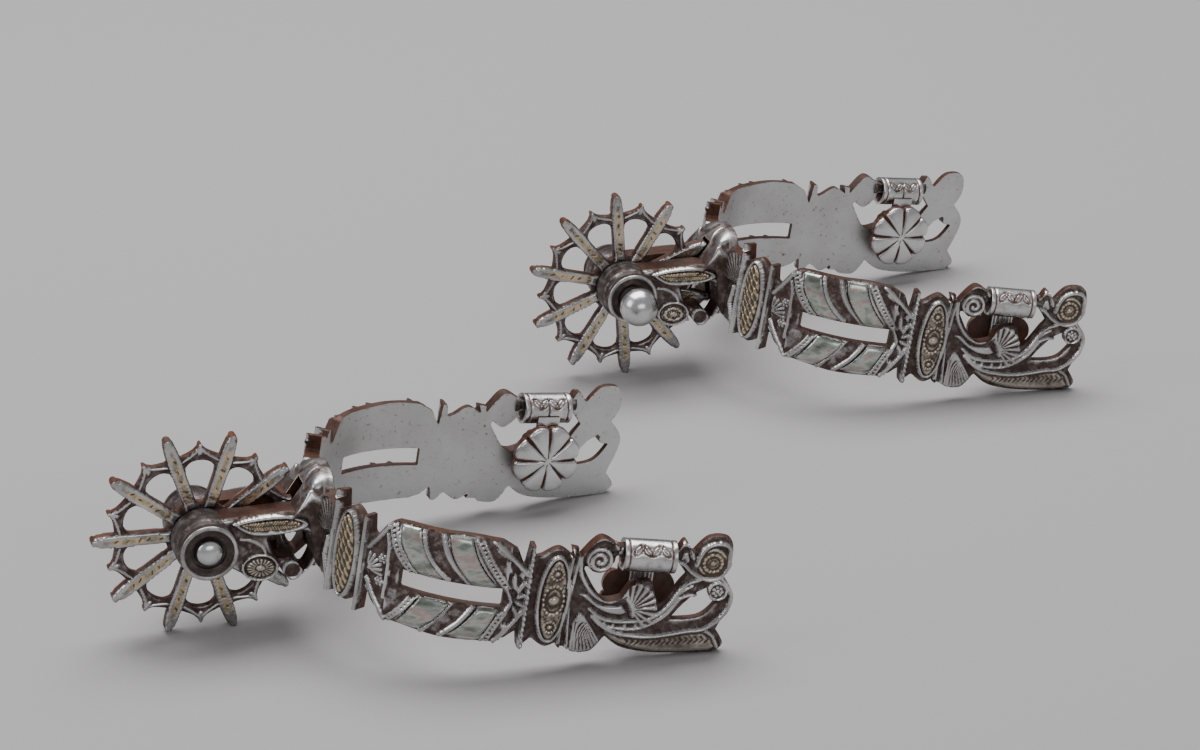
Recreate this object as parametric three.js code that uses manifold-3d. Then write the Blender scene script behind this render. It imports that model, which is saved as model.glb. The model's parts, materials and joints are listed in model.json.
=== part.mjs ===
// A pair of rowel spurs with pierced and inlaid heel bands.
// Millimetres, +Z up. Each spur is modelled in its own frame: origin at the centre of the rowel,
// +X towards the strap ends, -Y towards the near branch, and then laid on the ground.
import * as THREE from 'three';
import { mergeVertices } from 'three/addons/utils/BufferGeometryUtils.js';
import Module from 'manifold-3d';

const wasm = await Module();
wasm.setup();

// ---- fits ----
const seatGap = 0.3;            // between pieces that sit on or in one another
const runningGap = 0.3;         // round a turning pin or bar

// ---- rowel ----
const rowelPoints = 10;
const rowelRadius = 31.2;       // to the end of a point
const rowelThickness = 4.2;
const rowelEyeRadius = 9.6;     // solid disc round the bore
const pointHalfWidth = 1.95;
const archTipRadius = 27.8;
const archFootRadius = 23.4;
const openingTopRadius = 22.8;
const pinRadius = 2.0;

// ---- neck ----
const rowelSideGap = 0.8;       // between the rowel and each cheek
const rowelSweepGap = 1.0;      // beyond the rowel's points
const cheekThickness = 7.6;
const bossRadius = 8.3;
const bossHeight = 2.6;         // hub boss beyond the cheek
const backWall = 2.7;           // steel left behind the rowel slot
const neckHalfWidth = 11.5;
const ringThickness = 1.5;
const ringWidth = 2.8;
const domeRadius = 4.0;
const domeHeight = 2.4;
const ballRadius = 6.2;
const ballNeckLength = 2.6;

// ---- heel band ----
const plateThickness = 2.4;
const backHalf = 5.2;           // straight back, to each side of the middle
const cornerRadius = 45;        // of the outer face, round the back of the heel
const splayDegrees = 5.5;       // opening of each branch
const cornerSteps = 9;
const overlap = 2;              // how far each half runs past the middle

// ---- ornament stations along the outer face, measured from the middle of the back ----
const collarFlangeAt = 19.3;
const collarOvalAt = 25.5;
const waistFlangeAt = 31.8;
const ropeStart = 40.9;
const ropeLength = 33.2;
const ropeToFlange = 6.3;
const flangeToOval = 7.6;

// ---- ovals, flanges and relief ----
const ovalHalfWidth = 4.6;
const ovalHalfHeight = 13.2;
const ovalRim = 1.0;
const ovalSteps = 18;
const ovalHeight = 1.9;         // of the rim above the plate
const recessDepth = 1.0;
const flangeThickness = 1.3;
const flangeHeight = 2.4;
const ropeHeight = 0.9;
const ropeMargin = 0.9;         // rope left above and below an inlaid strip
const ropeEdge = 3;             // closed end of the slot, along the ropes

// ---- hanger: a loose sleeve on the bar, with its tongue and button ----
const barRadius = 1.7;
const barLength = 17.5;
const barHeight = 21.0;         // of the bar's axis above the rowel's axis
const sleeveRadius = 4.7;
const sleeveLength = 15.0;
const sleeveWall = 1.3;
const sleeveDrop = sleeveRadius - sleeveWall - barRadius - runningGap;
const tongueWidth = 7.0;
const tongueThickness = 1.6;
const tongueSetback = 3.4;      // from the sleeve's axis to the tongue's near face
const buttonRadius = 10.9;
const buttonHeight = 3.6;
const buttonRim = 1.0;
const buttonDrop = 15.4;        // of the button's centre below the bar
const petals = 8;
const petalSteps = 3;
const petalDepth = 0.075;       // of the notch between petals, in button radii
const rivetRadius = 1.3;
const rivetHeadRadius = 2.6;
const rivetHeadHeight = 1.0;

// ---- the pair on the ground ----
const yawDegrees = 16.4;
const pairOffset = [120.1, 184.4];
const restCorner = [56.8, -8.5]; // lowest corner of each strap end, along the terminal and up

const splay = THREE.MathUtils.degToRad(splayDegrees);
const slotHalf = rowelThickness / 2 + rowelSideGap;
const cheekOuter = slotHalf + cheekThickness;
const bossOuter = cheekOuter + bossHeight;
const slotRadius = rowelRadius + rowelSweepGap;
const backX = slotRadius + backWall - plateThickness;
const cornerEnd = backHalf + cornerRadius * (Math.PI / 2 - splay);
const ropeEnd = ropeStart + ropeLength;
const strapFlangeAt = ropeEnd + ropeToFlange;
const strapOvalAt = strapFlangeAt + flangeToOval;
const terminalAt = strapOvalAt - flangeToOval;
const barStart = terminalAt + 23.9;

// ---- small helpers ----
const bright = (color, roughness) => new THREE.MeshStandardMaterial({ color, roughness, metalness: 1 });

const finishes = {
  steel: () => bright(0x6f6662, 0.42),
  polished: () => bright(0xb9bcbd, 0.25),
  gold: () => bright(0xa98d5c, 0.4),
  pearl: () => new THREE.MeshStandardMaterial({ color: 0xa9ada3, roughness: 0.25, metalness: 0.6 }),
};

// The same surface with shared corners merged and its zero-width triangles left out.
function merge(geometry) {
  const bare = geometry.clone();
  bare.deleteAttribute('normal');
  bare.deleteAttribute('uv');
  const merged = mergeVertices(bare, 1e-4);
  const corners = [];
  for (let i = 0; i < merged.index.count; i += 3) {
    const [a, b, c] = merged.index.array.slice(i, i + 3);
    if (a !== b && b !== c && c !== a) corners.push(a, b, c);
  }
  merged.setIndex(corners);
  return merged;
}

function toSolid(geometry) {
  const merged = merge(geometry);
  const vertProperties = new Float32Array(merged.attributes.position.array);
  const triVerts = new Uint32Array(merged.index.array);
  return new wasm.Manifold(new wasm.Mesh({ numProp: 3, vertProperties, triVerts }));
}

function toGeometry(solid) {
  const mesh = solid.getMesh();
  const geometry = new THREE.BufferGeometry();
  geometry.setAttribute('position', new THREE.BufferAttribute(new Float32Array(mesh.vertProperties), 3));
  geometry.setIndex(new THREE.BufferAttribute(new Uint32Array(mesh.triVerts), 1));
  geometry.computeVertexNormals();
  return geometry;
}

function join(geometries) {
  return toGeometry(geometries.map(toSolid).reduce((whole, piece) => whole.add(piece)));
}

function cut(geometry, tools) {
  return toGeometry(tools.map(toSolid).reduce((whole, tool) => whole.subtract(tool), toSolid(geometry)));
}

function common(first, second) {
  return toGeometry(toSolid(first).intersect(toSolid(second)));
}

// A copy reflected through the plane y = 0, with its faces still pointing out.
function mirrored(geometry) {
  const copy = merge(geometry);
  copy.scale(1, -1, 1);
  const index = copy.index.array;
  for (let i = 0; i < index.length; i += 3) {
    [index[i], index[i + 1]] = [index[i + 1], index[i]];
  }
  copy.computeVertexNormals();
  return copy;
}

const vectors = (points) => points.map(([x, y]) => new THREE.Vector2(x, y));

// A smooth run through the points given.
const through = (points, steps = 2) => (
  new THREE.SplineCurve(vectors(points)).getPoints(steps * (points.length - 1)).map((p) => [p.x, p.y])
);

// A counter-clockwise shape, whichever way round its points are given.
function shapeOf(points) {
  const corners = vectors(points);
  return new THREE.Shape(THREE.ShapeUtils.isClockWise(corners) ? corners.reverse() : corners);
}

function ellipse(x, y, halfWidth, halfHeight, steps) {
  const points = [];
  for (let i = 0; i < steps; i += 1) {
    const angle = (2 * Math.PI * i) / steps;
    points.push([x + halfWidth * Math.cos(angle), y + halfHeight * Math.sin(angle)]);
  }
  return points;
}

// An outline in the plane of the plate (x along the band, y up) raised from low to high outwards.
function raised(outline, low, high, holes = []) {
  const shape = shapeOf(outline);
  holes.forEach((hole) => shape.holes.push(new THREE.Path(vectors(hole))));
  const geometry = new THREE.ExtrudeGeometry(shape, { depth: high - low, bevelEnabled: false });
  geometry.rotateX(Math.PI / 2);
  geometry.translate(0, -low, 0);
  return geometry;
}

// As raised, with its outer edge rounded over.
function domed(outline, low, high, edge) {
  const geometry = new THREE.ExtrudeGeometry(shapeOf(outline), {
    depth: high - low - edge, bevelThickness: edge, bevelSize: edge, bevelOffset: -edge, bevelSegments: 1,
  });
  geometry.rotateX(Math.PI / 2);
  geometry.translate(0, -low, 0);
  const floor = raised(rectangle(-500, -500, 500, 500), low, high + 1);
  return common(geometry, floor);
}

const rectangle = (x0, y0, x1, y1) => [[x0, y0], [x1, y0], [x1, y1], [x0, y1]];

// A lathe about the local Y axis: profile points are [radius, distance along the axis].
function turned(profile, steps) {
  const corners = vectors(profile);
  return new THREE.LatheGeometry(THREE.ShapeUtils.area(corners) < 0 ? corners.reverse() : corners, steps);
}

function cylinderY(radius, low, high, steps) {
  return turned([[0, low], [radius, low], [radius, high], [0, high]], steps);
}

// ---- plan of the heel band ----
// The outer face's place, direction and outward normal at a distance from the middle of the back.
function plan(distance) {
  if (distance <= backHalf) {
    return { x: backX, y: -distance, tx: 0, ty: -1 };
  }
  const turn = (Math.min(distance, cornerEnd) - backHalf) / cornerRadius;
  const straight = Math.max(distance - cornerEnd, 0);
  const tx = Math.sin(turn);
  const ty = -Math.cos(turn);
  const x = backX + cornerRadius * (1 - Math.cos(turn)) + straight * tx;
  const y = -backHalf - cornerRadius * Math.sin(turn) + straight * ty;
  return { x, y, tx, ty };
}

// Cuts every triangle where x passes the given place, so that a flat piece can be bent there.
function splitAt(points, triangles, place) {
  const side = (i) => Math.sign(Math.abs(points[i][0] - place) < 1e-4 ? 0 : points[i][0] - place);
  const made = new Map();
  const crossing = (a, b) => {
    const [first, last] = a < b ? [a, b] : [b, a];
    const key = `${first}_${last}`;
    if (!made.has(key)) {
      const [p, q] = [points[first], points[last]];
      const t = (place - p[0]) / (q[0] - p[0]);
      made.set(key, points.length);
      points.push([place, p[1] + t * (q[1] - p[1]), p[2] + t * (q[2] - p[2])]);
    }
    return made.get(key);
  };
  const kept = [];
  for (const triangle of triangles) {
    const sides = triangle.map(side);
    if (!(sides.includes(1) && sides.includes(-1))) {
      kept.push(triangle);
      continue;
    }
    const below = [];
    const above = [];
    triangle.forEach((corner, i) => {
      const next = triangle[(i + 1) % 3];
      if (sides[i] <= 0) below.push(corner);
      if (sides[i] >= 0) above.push(corner);
      if (sides[i] * side(next) < 0) {
        const middle = crossing(corner, next);
        below.push(middle);
        above.push(middle);
      }
    });
    for (const loop of [below, above]) {
      for (let i = 1; i + 1 < loop.length; i += 1) kept.push([loop[0], loop[i], loop[i + 1]]);
    }
  }
  return kept;
}

// Bends a flat piece round the plan of the near half of the band.
function bent(geometry) {
  const flat = merge(geometry);
  const points = [];
  for (let i = 0; i < flat.attributes.position.count; i += 1) {
    const at = flat.attributes.position;
    points.push([at.getX(i), at.getY(i), at.getZ(i)]);
  }
  let triangles = [];
  for (let i = 0; i < flat.index.count; i += 3) triangles.push(Array.from(flat.index.array.slice(i, i + 3)));
  for (let i = 0; i <= cornerSteps; i += 1) {
    triangles = splitAt(points, triangles, backHalf + ((cornerEnd - backHalf) * i) / cornerSteps);
  }
  const moved = points.flatMap(([u, depth, z]) => {
    const at = plan(u);
    return [at.x - depth * at.ty, at.y + depth * at.tx, z];
  });
  const result = new THREE.BufferGeometry();
  result.setAttribute('position', new THREE.BufferAttribute(new Float32Array(moved), 3));
  result.setIndex(triangles.flat());
  return merge(result);
}

// ---- outlines of the band, in its flat state ----
const onTerminal = (points) => points.map(([along, up]) => [terminalAt + along, up]);
const onRope = (points) => points.map(([along, up]) => [ropeStart + along, up]);

const ropeTop = (along) => 21.7 + (0.7 * along * (ropeLength - along)) / (ropeLength * ropeLength / 4);
const slotTop = (along) => 8.1 - (0.8 * along) / ropeLength;
const slotBottom = (along) => 2.5 - (0.8 * along) / ropeLength;
const ropeBottom = (along) => -8.1 - (0.8 * along) / ropeLength;
const collarOvalUp = 6.0;
const strapOvalUp = 5.5;

const scrollTop = [[13.2, 18.2], [18.6, 24.8], [24.0, barHeight + barRadius]];
const smallLeaf = [[41.2, barHeight + barRadius], [43.0, 25.4], [45.7, 21.6]];
const finial = [[45.7, 21.6], [50.0, 26.6], [56.0, 26.4], [57.3, 20.2], [55.1, 15.5]];
const endScroll = [[55.1, 15.5], [59.1, 9.1], [56.0, -1.6]];
const endCorner = [[56.0, -1.6], [58.7, -5.6], restCorner];
const lowerEdge = [restCorner, [40.9, -9.8], [30.0, -8.9], [24.2, -5.5]];
const fanEdge = [[24.2, -5.5], [20.5, -10.5], [14.8, -10.5]];

const bigOpening = [
  ...through([[15.7, 16.2], [19.6, 13.9], [23.8, 17.2]]),
  [24.0, barHeight - barRadius],
  [41.4, barHeight - barRadius],
  [45.0, 14.7],
  ...through([[43.6, 12.8], [40.4, 7.3], [38.2, 4.9]]),
  ...through([[37.2, 6.0], [35.2, 12.0], [29.7, 11.2], [27.8, 8.6]]),
  ...through([[27.0, 6.9], [21.4, 6.4], [15.5, 14.6]]),
];

const smallOpening = [
  ...through([[42.1, 0.9], [50.9, 2.5], [55.9, 9.0]]),
  ...through([[55.0, 8.3], [52.6, 8.3], [51.7, 11.3]]),
  [48.2, 9.1],
  [44.5, 4.6],
];

const ropeSlot = onRope([
  [ropeEdge, slotBottom(ropeEdge)], [ropeLength, slotBottom(ropeLength)],
  [ropeLength, slotTop(ropeLength)], [ropeEdge, slotTop(ropeEdge)],
]);

function plateOutline() {
  const collar = (side) => through([-4.4, 0, 4.4].map((along) => (
    [collarOvalAt + side * along, collarOvalUp + side * (14.4 - 0.13 * along * along)])));
  const strap = (side) => through([-4.4, 0, 4.4].map((along) => (
    [strapOvalAt + side * along, strapOvalUp + side * (15.2 - 0.13 * along * along)])));
  const top = [
    [-overlap, 19], [12, 18.6], [collarFlangeAt, 18.3],
    ...collar(1),
    [waistFlangeAt, 16.2], [waistFlangeAt + 2.6, 14.6],
    [ropeStart, ropeTop(0)], [ropeEnd - 1.5, ropeTop(ropeLength)], [ropeEnd + 2.5, 19.3],
    [strapFlangeAt - 1.4, 14.4], [strapFlangeAt + 1.2, 17.4],
    ...strap(1),
    ...onTerminal([...through(scrollTop), ...through(smallLeaf), ...through(finial)]),
  ];
  const bottom = [
    ...onTerminal([...through(endScroll), ...through(endCorner)]),
    ...onTerminal([...through(lowerEdge), ...through(fanEdge)]),
    ...strap(-1),
    [strapFlangeAt + 1.2, -7.4], [strapFlangeAt - 1.4, -5.2], [ropeEnd + 2, -7.6],
    [ropeEnd - 1.5, ropeBottom(ropeLength)],
    [ropeStart + ropeLength / 2, ropeBottom(ropeLength / 2) - 0.9],
    [ropeStart + 0.6, ropeBottom(0)],
    [waistFlangeAt + 3, -2.0], [waistFlangeAt, -6.6],
    ...collar(-1),
    [collarFlangeAt, -6.4], [-overlap, -4.4],
  ];
  return [...top, ...bottom].filter(([x, y], i, all) => {
    const [px, py] = all[(i + all.length - 1) % all.length];
    return Math.hypot(x - px, y - py) > 0.05;
  });
}

// Inlaid strips on each rope: where each begins and ends, at the rope's upper and lower edge.
const strips = {
  upper_1: { top: [1.9, 8.0], bottom: [8.6, 16.0], rise: ropeTop, fall: slotTop },
  upper_2: { top: [16.0, 22.4], bottom: [23.4, 31.0], rise: ropeTop, fall: slotTop },
  lower_1: { top: [10.0, 18.8], bottom: [3.8, 11.2], rise: slotBottom, fall: ropeBottom },
  lower_2: { top: [26.4, 32.0], bottom: [18.6, 27.0], rise: slotBottom, fall: ropeBottom },
};

function stripOutline({ top, bottom, rise, fall }, inset) {
  const high = (along) => [along, rise(along) - ropeMargin - inset];
  const low = (along) => [along, fall(along) + ropeMargin + inset];
  return onRope([
    low(bottom[0] + inset), low(bottom[1] - inset),
    high(top[1] - inset), high(top[0] + inset),
  ]);
}

const flange = (at, low, high, out) => (
  raised(rectangle(at - flangeThickness / 2, low, at + flangeThickness / 2, high), -plateThickness, out));

function ovalBoss(at, up) {
  const rim = ellipse(at, up, ovalHalfWidth, ovalHalfHeight, ovalSteps);
  return raised(rim, -plateThickness, ovalHeight);
}

const inlayHalfWidth = ovalHalfWidth - ovalRim;
const inlayHalfHeight = ovalHalfHeight - ovalRim;

const ovalRecess = (at, up) => (
  raised(
    ellipse(at, up, inlayHalfWidth, inlayHalfHeight, ovalSteps),
    ovalHeight - recessDepth,
    ovalHeight + 1,
  ));

function ovalInlay(at, up) {
  const outline = ellipse(at, up, inlayHalfWidth - seatGap, inlayHalfHeight - seatGap, ovalSteps);
  return bent(domed(outline, ovalHeight - recessDepth + seatGap, ovalHeight + 0.3, 0.5));
}

const stripFloor = 0;

function ropeStrip(strip) {
  return bent(domed(stripOutline(strip, seatGap), stripFloor + seatGap, ropeHeight + 0.4, 0.4));
}

const shellUp = 8.7;
const collarShell = () => {
  const fan = [];
  for (let i = 0; i <= 8; i += 1) {
    const angle = Math.PI * (0.48 + (0.5 * i) / 8);
    fan.push([collarFlangeAt + 10 * Math.cos(angle), shellUp + 10.5 * Math.sin(angle)]);
  }
  return raised([[collarFlangeAt, shellUp - 3], ...fan], -plateThickness, 2.4);
};

const fanPad = () => raised(onTerminal([
  [13.4, -4], [16.3, 1.5], [18, 1.5], [23.4, -6.3], [22.4, -8.6], [19.6, -10.6], [16.5, -10.8], [14.4, -10],
]), -0.5, 1.2);

const bladePad = () => raised(onTerminal([
  ...through([[21.6, -1.2], [27.3, -4.1], [36.4, -4.6], [45.5, -2.7], [54, -1.7]]),
  ...through([[56.4, -3.4], [57.6, -6.8]]),
  ...through([[55, -8.2], [45.5, -9], [36.4, -9], [28.6, -7.2], [24.5, -4.6]]),
]), -0.5, 1.0);

function ropePad(rise, fall) {
  const inset = 0.4;
  return raised(onRope([
    [0.8, fall(0) + inset], [ropeLength - 1.5, fall(ropeLength) + inset],
    [ropeLength - 1.5, rise(ropeLength) - inset], [0.8, rise(0) - inset],
  ]), -0.5, ropeHeight);
}

function strapBar() {
  const bar = cylinderY(barRadius, 0, barLength + 1.6, 10);
  bar.rotateZ(-Math.PI / 2);
  bar.translate(barStart - 0.8, plateThickness / 2, barHeight);
  return bar;
}

function halfBand() {
  const openings = [onTerminal(bigOpening), onTerminal(smallOpening), ropeSlot];
  const plate = raised(plateOutline(), -plateThickness, 0, openings);
  const roomForBar = raised(rectangle(
    barStart, barHeight - barRadius - 1, barStart + barLength, barHeight + barRadius + 1,
  ), -plateThickness - 1, 1);
  const solid = join([
    cut(plate, [roomForBar]),
    flange(collarFlangeAt, -8.0, 23.1, flangeHeight),
    flange(waistFlangeAt, -8.7, 20.3, flangeHeight),
    flange(strapFlangeAt, -9.8, 21.4, flangeHeight),
    flange(terminalAt + 11.6, -9.4, 21.2, flangeHeight - 0.4),
    flange(terminalAt + 13.4, -9.4, 20.6, flangeHeight - 0.8),
    ovalBoss(collarOvalAt, collarOvalUp),
    ovalBoss(strapOvalAt, strapOvalUp),
    ropePad(ropeTop, slotTop),
    ropePad(slotBottom, ropeBottom),
    collarShell(),
    fanPad(),
    bladePad(),
    strapBar(),
  ]);
  const recesses = [
    ovalRecess(collarOvalAt, collarOvalUp),
    ovalRecess(strapOvalAt, strapOvalUp),
    ...Object.values(strips).map((strip) => raised(stripOutline(strip, 0), stripFloor, ropeHeight + 1)),
  ];
  return bent(cut(solid, recesses));
}

// ---- neck: two cheeks round the rowel, and the crown where they meet the band ----
const armOutline = () => [
  ...through([[0, 8.0], [11, 9.6], [22, 11.5]]),
  [backX + 1, 11], [backX + 1, -3],
  ...through([[32.6, -4], [26.4, -9.6], [21.4, -5.4]]),
  ...through([[20.6, -8], [16, -10], [6, -5.7]]),
];

const scrollOpening = () => through([
  [17.5, 3.2], [26.5, 5.7], [31, 0.5], [29.2, -6.4], [25.6, -3], [20.6, -3], [17.5, 3.2],
]).slice(0, -1);

const leafOutline = (inset) => through([
  [6.8 + 2 * inset, 7.3], [13, 9.2 - inset], [22, 10.2 - inset],
  [28.2 - 2 * inset, 8.1], [22, 5.4 + inset], [13, 4.6 + inset], [6.8 + 2 * inset, 7.3],
]).slice(0, -1);

const leafInset = 0.7;
const leafHeight = 0.8;
const cheekRosetteAt = [16, -5.7];
const cheekRosetteRadii = [5.4, 4.2];
const cheekRosetteRim = 0.8;

function cheek() {
  const voluteRadius = 2.9;
  const arm = raised(armOutline(), slotHalf, cheekOuter, [scrollOpening()]);
  const hub = cylinderY(bossRadius, -bossOuter, -slotHalf, 20);
  const leaf = raised(leafOutline(0), cheekOuter - 0.5, cheekOuter + leafHeight);
  const [rx, rz] = cheekRosetteRadii;
  const rosette = raised(ellipse(...cheekRosetteAt, rx, rz, 14), cheekOuter - 0.5, cheekOuter + leafHeight);
  const volute = raised(
    ellipse(25.6, -6.3, voluteRadius, voluteRadius, 14),
    cheekOuter - 0.5,
    cheekOuter + leafHeight,
  );
  return join([arm, hub, leaf, rosette, volute]);
}

function cheekRecesses() {
  const [rx, rz] = cheekRosetteRadii.map((radius) => radius - cheekRosetteRim);
  return [leafOutline(leafInset), ellipse(...cheekRosetteAt, rx, rz, 14)].map((outline) => (
    raised(outline, cheekOuter - 0.2, cheekOuter + 2)));
}

const cheekInlay = () => (
  domed(leafOutline(leafInset + seatGap), cheekOuter - 0.2 + seatGap, cheekOuter + leafHeight + 0.2, 0.3));

function cheekRosette() {
  const inset = cheekRosetteRim + seatGap;
  const [rx, rz] = cheekRosetteRadii;
  const outline = ellipse(...cheekRosetteAt, rx - inset, rz - inset, 14);
  return domed(outline, cheekOuter - 0.2 + seatGap, cheekOuter + leafHeight + 0.3, 0.5);
}

// The crown is the part common to a side outline and an arched cross-section.
function crown() {
  const side = raised([
    [22, 9], ...through([[24.4, 11.4], [26, 14.6], [28.6, 19.6], [31.6, 22.2]]),
    [backX + plateThickness, 22.6], [backX + plateThickness, -5], [32, -6.4], [30, -2], [29, 6],
  ], -neckHalfWidth - 2, neckHalfWidth + 2);
  const w = neckHalfWidth;
  const arch = new THREE.ExtrudeGeometry(shapeOf([
    [-w, -8], [w, -8], [w, 11],
    ...through([
      [w - 0.5, 14], [w - 3.4, 19], [w - 7, 21.8], [0, 22.6],
      [7 - w, 21.8], [3.4 - w, 19], [0.5 - w, 14],
    ]),
    [-w, 11],
  ]), { depth: 40, bevelEnabled: false });
  arch.rotateX(Math.PI / 2);
  arch.rotateZ(Math.PI / 2);
  return common(side, arch);
}

// Steel that thickens the back of the band from the neck out to the collar flange.
function shoulder() {
  const reach = collarFlangeAt - 1;
  const outline = [
    [backX - 5, -neckHalfWidth + 2], [backX - 2.6, -neckHalfWidth - 2.5], [backX + 0.8, -reach],
    [backX + 3, -reach], [backX + 1, -neckHalfWidth + 2],
  ];
  const height = 15;
  const geometry = new THREE.ExtrudeGeometry(shapeOf(outline), { depth: height, bevelEnabled: false });
  geometry.translate(0, 0, -2.5);
  return geometry;
}

function heelBand() {
  const nearParts = [halfBand(), cheek(), shoulder()];
  const solid = join([crown(), ...nearParts, ...nearParts.map(mirrored)]);
  const rowelSlot = cylinderY(slotRadius, -slotHalf, slotHalf, 48);
  const pinBore = cylinderY(pinRadius + runningGap, -bossOuter - 1, bossOuter + 1, 16);
  const seats = cheekRecesses();
  return cut(solid, [rowelSlot, pinBore, ...seats, ...seats.map(mirrored)]);
}

// ---- rowel ----
function rowel() {
  const step = (2 * Math.PI) / rowelPoints;
  const half = step / 2;
  const turn = ([r, t], angle) => (
    [r * Math.cos(angle) - t * Math.sin(angle), r * Math.sin(angle) + t * Math.cos(angle)]);
  // Half the width of an opening at a radius, leaving the points their own width.
  const reach = (r) => r * Math.tan(half) - pointHalfWidth / Math.cos(half);
  const taper = rowelRadius - 6;
  const tip = [
    [archFootRadius + 1, -pointHalfWidth], [taper, -pointHalfWidth],
    [rowelRadius - 1.2, -1.25], [rowelRadius, -0.5],
    [rowelRadius, 0.5], [rowelRadius - 1.2, 1.25],
    [taper, pointHalfWidth], [archFootRadius + 1, pointHalfWidth],
  ];
  const arch = [[archFootRadius + 1.3, 3.1], [archTipRadius - 1.7, 1.2], [archTipRadius, 0.2],
    [archTipRadius, -0.2], [archTipRadius - 1.7, -1.2], [archFootRadius + 1.3, -3.1]];
  const opening = [
    [rowelEyeRadius + 0.4, reach(rowelEyeRadius + 0.4)], [18.6, reach(18.6)],
    ...through([
      [20.6, reach(18.6) + 0.2], [22.2, 2.7], [openingTopRadius, 0],
      [22.2, -2.7], [20.6, -reach(18.6) - 0.2],
    ]),
    [18.6, -reach(18.6)], [rowelEyeRadius + 0.4, -reach(rowelEyeRadius + 0.4)],
  ];
  const outline = [];
  const holes = [ellipse(0, 0, pinRadius + runningGap, pinRadius + runningGap, 16)];
  for (let i = 0; i < rowelPoints; i += 1) {
    outline.push(...tip.map((p) => turn(p, i * step)));
    outline.push(...arch.map(([r, t]) => turn([r, -t], i * step + half)));
    holes.push(opening.map((p) => turn(p, i * step + half)));
  }
  return raised(outline, -rowelThickness / 2, rowelThickness / 2, holes);
}

// ---- pieces on the pin ----
const rowelPin = () => cylinderY(pinRadius, -bossOuter, bossOuter, 16);

function bossRing() {
  const outer = bossRadius;
  const inner = bossRadius - ringWidth;
  const low = bossOuter + seatGap;
  const high = low + ringThickness;
  const ring = turned([
    [inner, low], [outer, low], [outer, high - 0.5], [outer - 0.8, high], [inner, low + 0.6], [inner, low],
  ], 16);
  ring.rotateX(Math.PI);
  return ring;
}

function pinDome() {
  const low = bossOuter + seatGap;
  const profile = [[0, low], [domeRadius, low], [domeRadius, low + 0.5]];
  for (let i = 1; i < 3; i += 1) {
    const angle = (Math.PI / 2) * (i / 3);
    profile.push([domeRadius * Math.cos(angle), low + 0.5 + domeHeight * Math.sin(angle)]);
  }
  profile.push([0, low + 0.5 + domeHeight]);
  const dome = turned(profile, 14);
  dome.rotateX(Math.PI);
  return dome;
}

function pinBall() {
  const low = bossOuter + seatGap;
  const neckRadius = 3.4;
  const centre = low + ballNeckLength + Math.sqrt(ballRadius ** 2 - neckRadius ** 2);
  const start = Math.asin(neckRadius / ballRadius);
  const profile = [[0, low], [neckRadius + 0.9, low], [neckRadius, low + 1.2]];
  const steps = 6;
  for (let i = 0; i < steps; i += 1) {
    const angle = start + ((Math.PI - start) * i) / steps;
    profile.push([ballRadius * Math.sin(angle), centre - ballRadius * Math.cos(angle)]);
  }
  profile.push([0, centre + ballRadius]);
  const ball = turned(profile, 16);
  ball.rotateX(Math.PI);
  return ball;
}

// ---- hanger, drawn in the flat state of the near branch, where +Y is inwards ----
const barAxis = plateThickness / 2;
const tongueNear = barAxis + tongueSetback;
const tongueFar = tongueNear + tongueThickness;
const buttonBack = tongueFar + seatGap;
const hangerSteps = 14;

function hanger(slide) {
  const start = barStart + (barLength - sleeveLength) / 2 + slide;
  const middle = start + sleeveLength / 2;
  const bore = sleeveRadius - sleeveWall;
  const sleeve = turned([
    [bore, 0], [sleeveRadius, 0], [sleeveRadius, sleeveLength], [bore, sleeveLength], [bore, 0],
  ], hangerSteps);
  sleeve.rotateZ(-Math.PI / 2);
  sleeve.translate(start, barAxis, barHeight - sleeveDrop);
  const half = tongueWidth / 2;
  const low = barHeight - buttonDrop;
  const top = barHeight - sleeveDrop - 1.0;
  const tongue = raised([
    [middle - half, top], [middle - half, low + 2], ...through([
      [middle - half + 0.4, low - 1.6], [middle, low - 3.4], [middle + half - 0.4, low - 1.6]]),
    [middle + half, low + 2], [middle + half, top],
  ], -tongueFar, -tongueNear);
  const boreTool = cylinderY(bore, -1, sleeveLength + 1, hangerSteps);
  boreTool.rotateZ(-Math.PI / 2);
  boreTool.translate(start, barAxis, barHeight - sleeveDrop);
  const rivetHole = cylinderY(rivetRadius + seatGap, tongueNear - 1, tongueFar + 1, 12);
  rivetHole.translate(middle, 0, low);
  return { geometry: cut(join([sleeve, tongue]), [boreTool, rivetHole]), middle, low };
}

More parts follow.
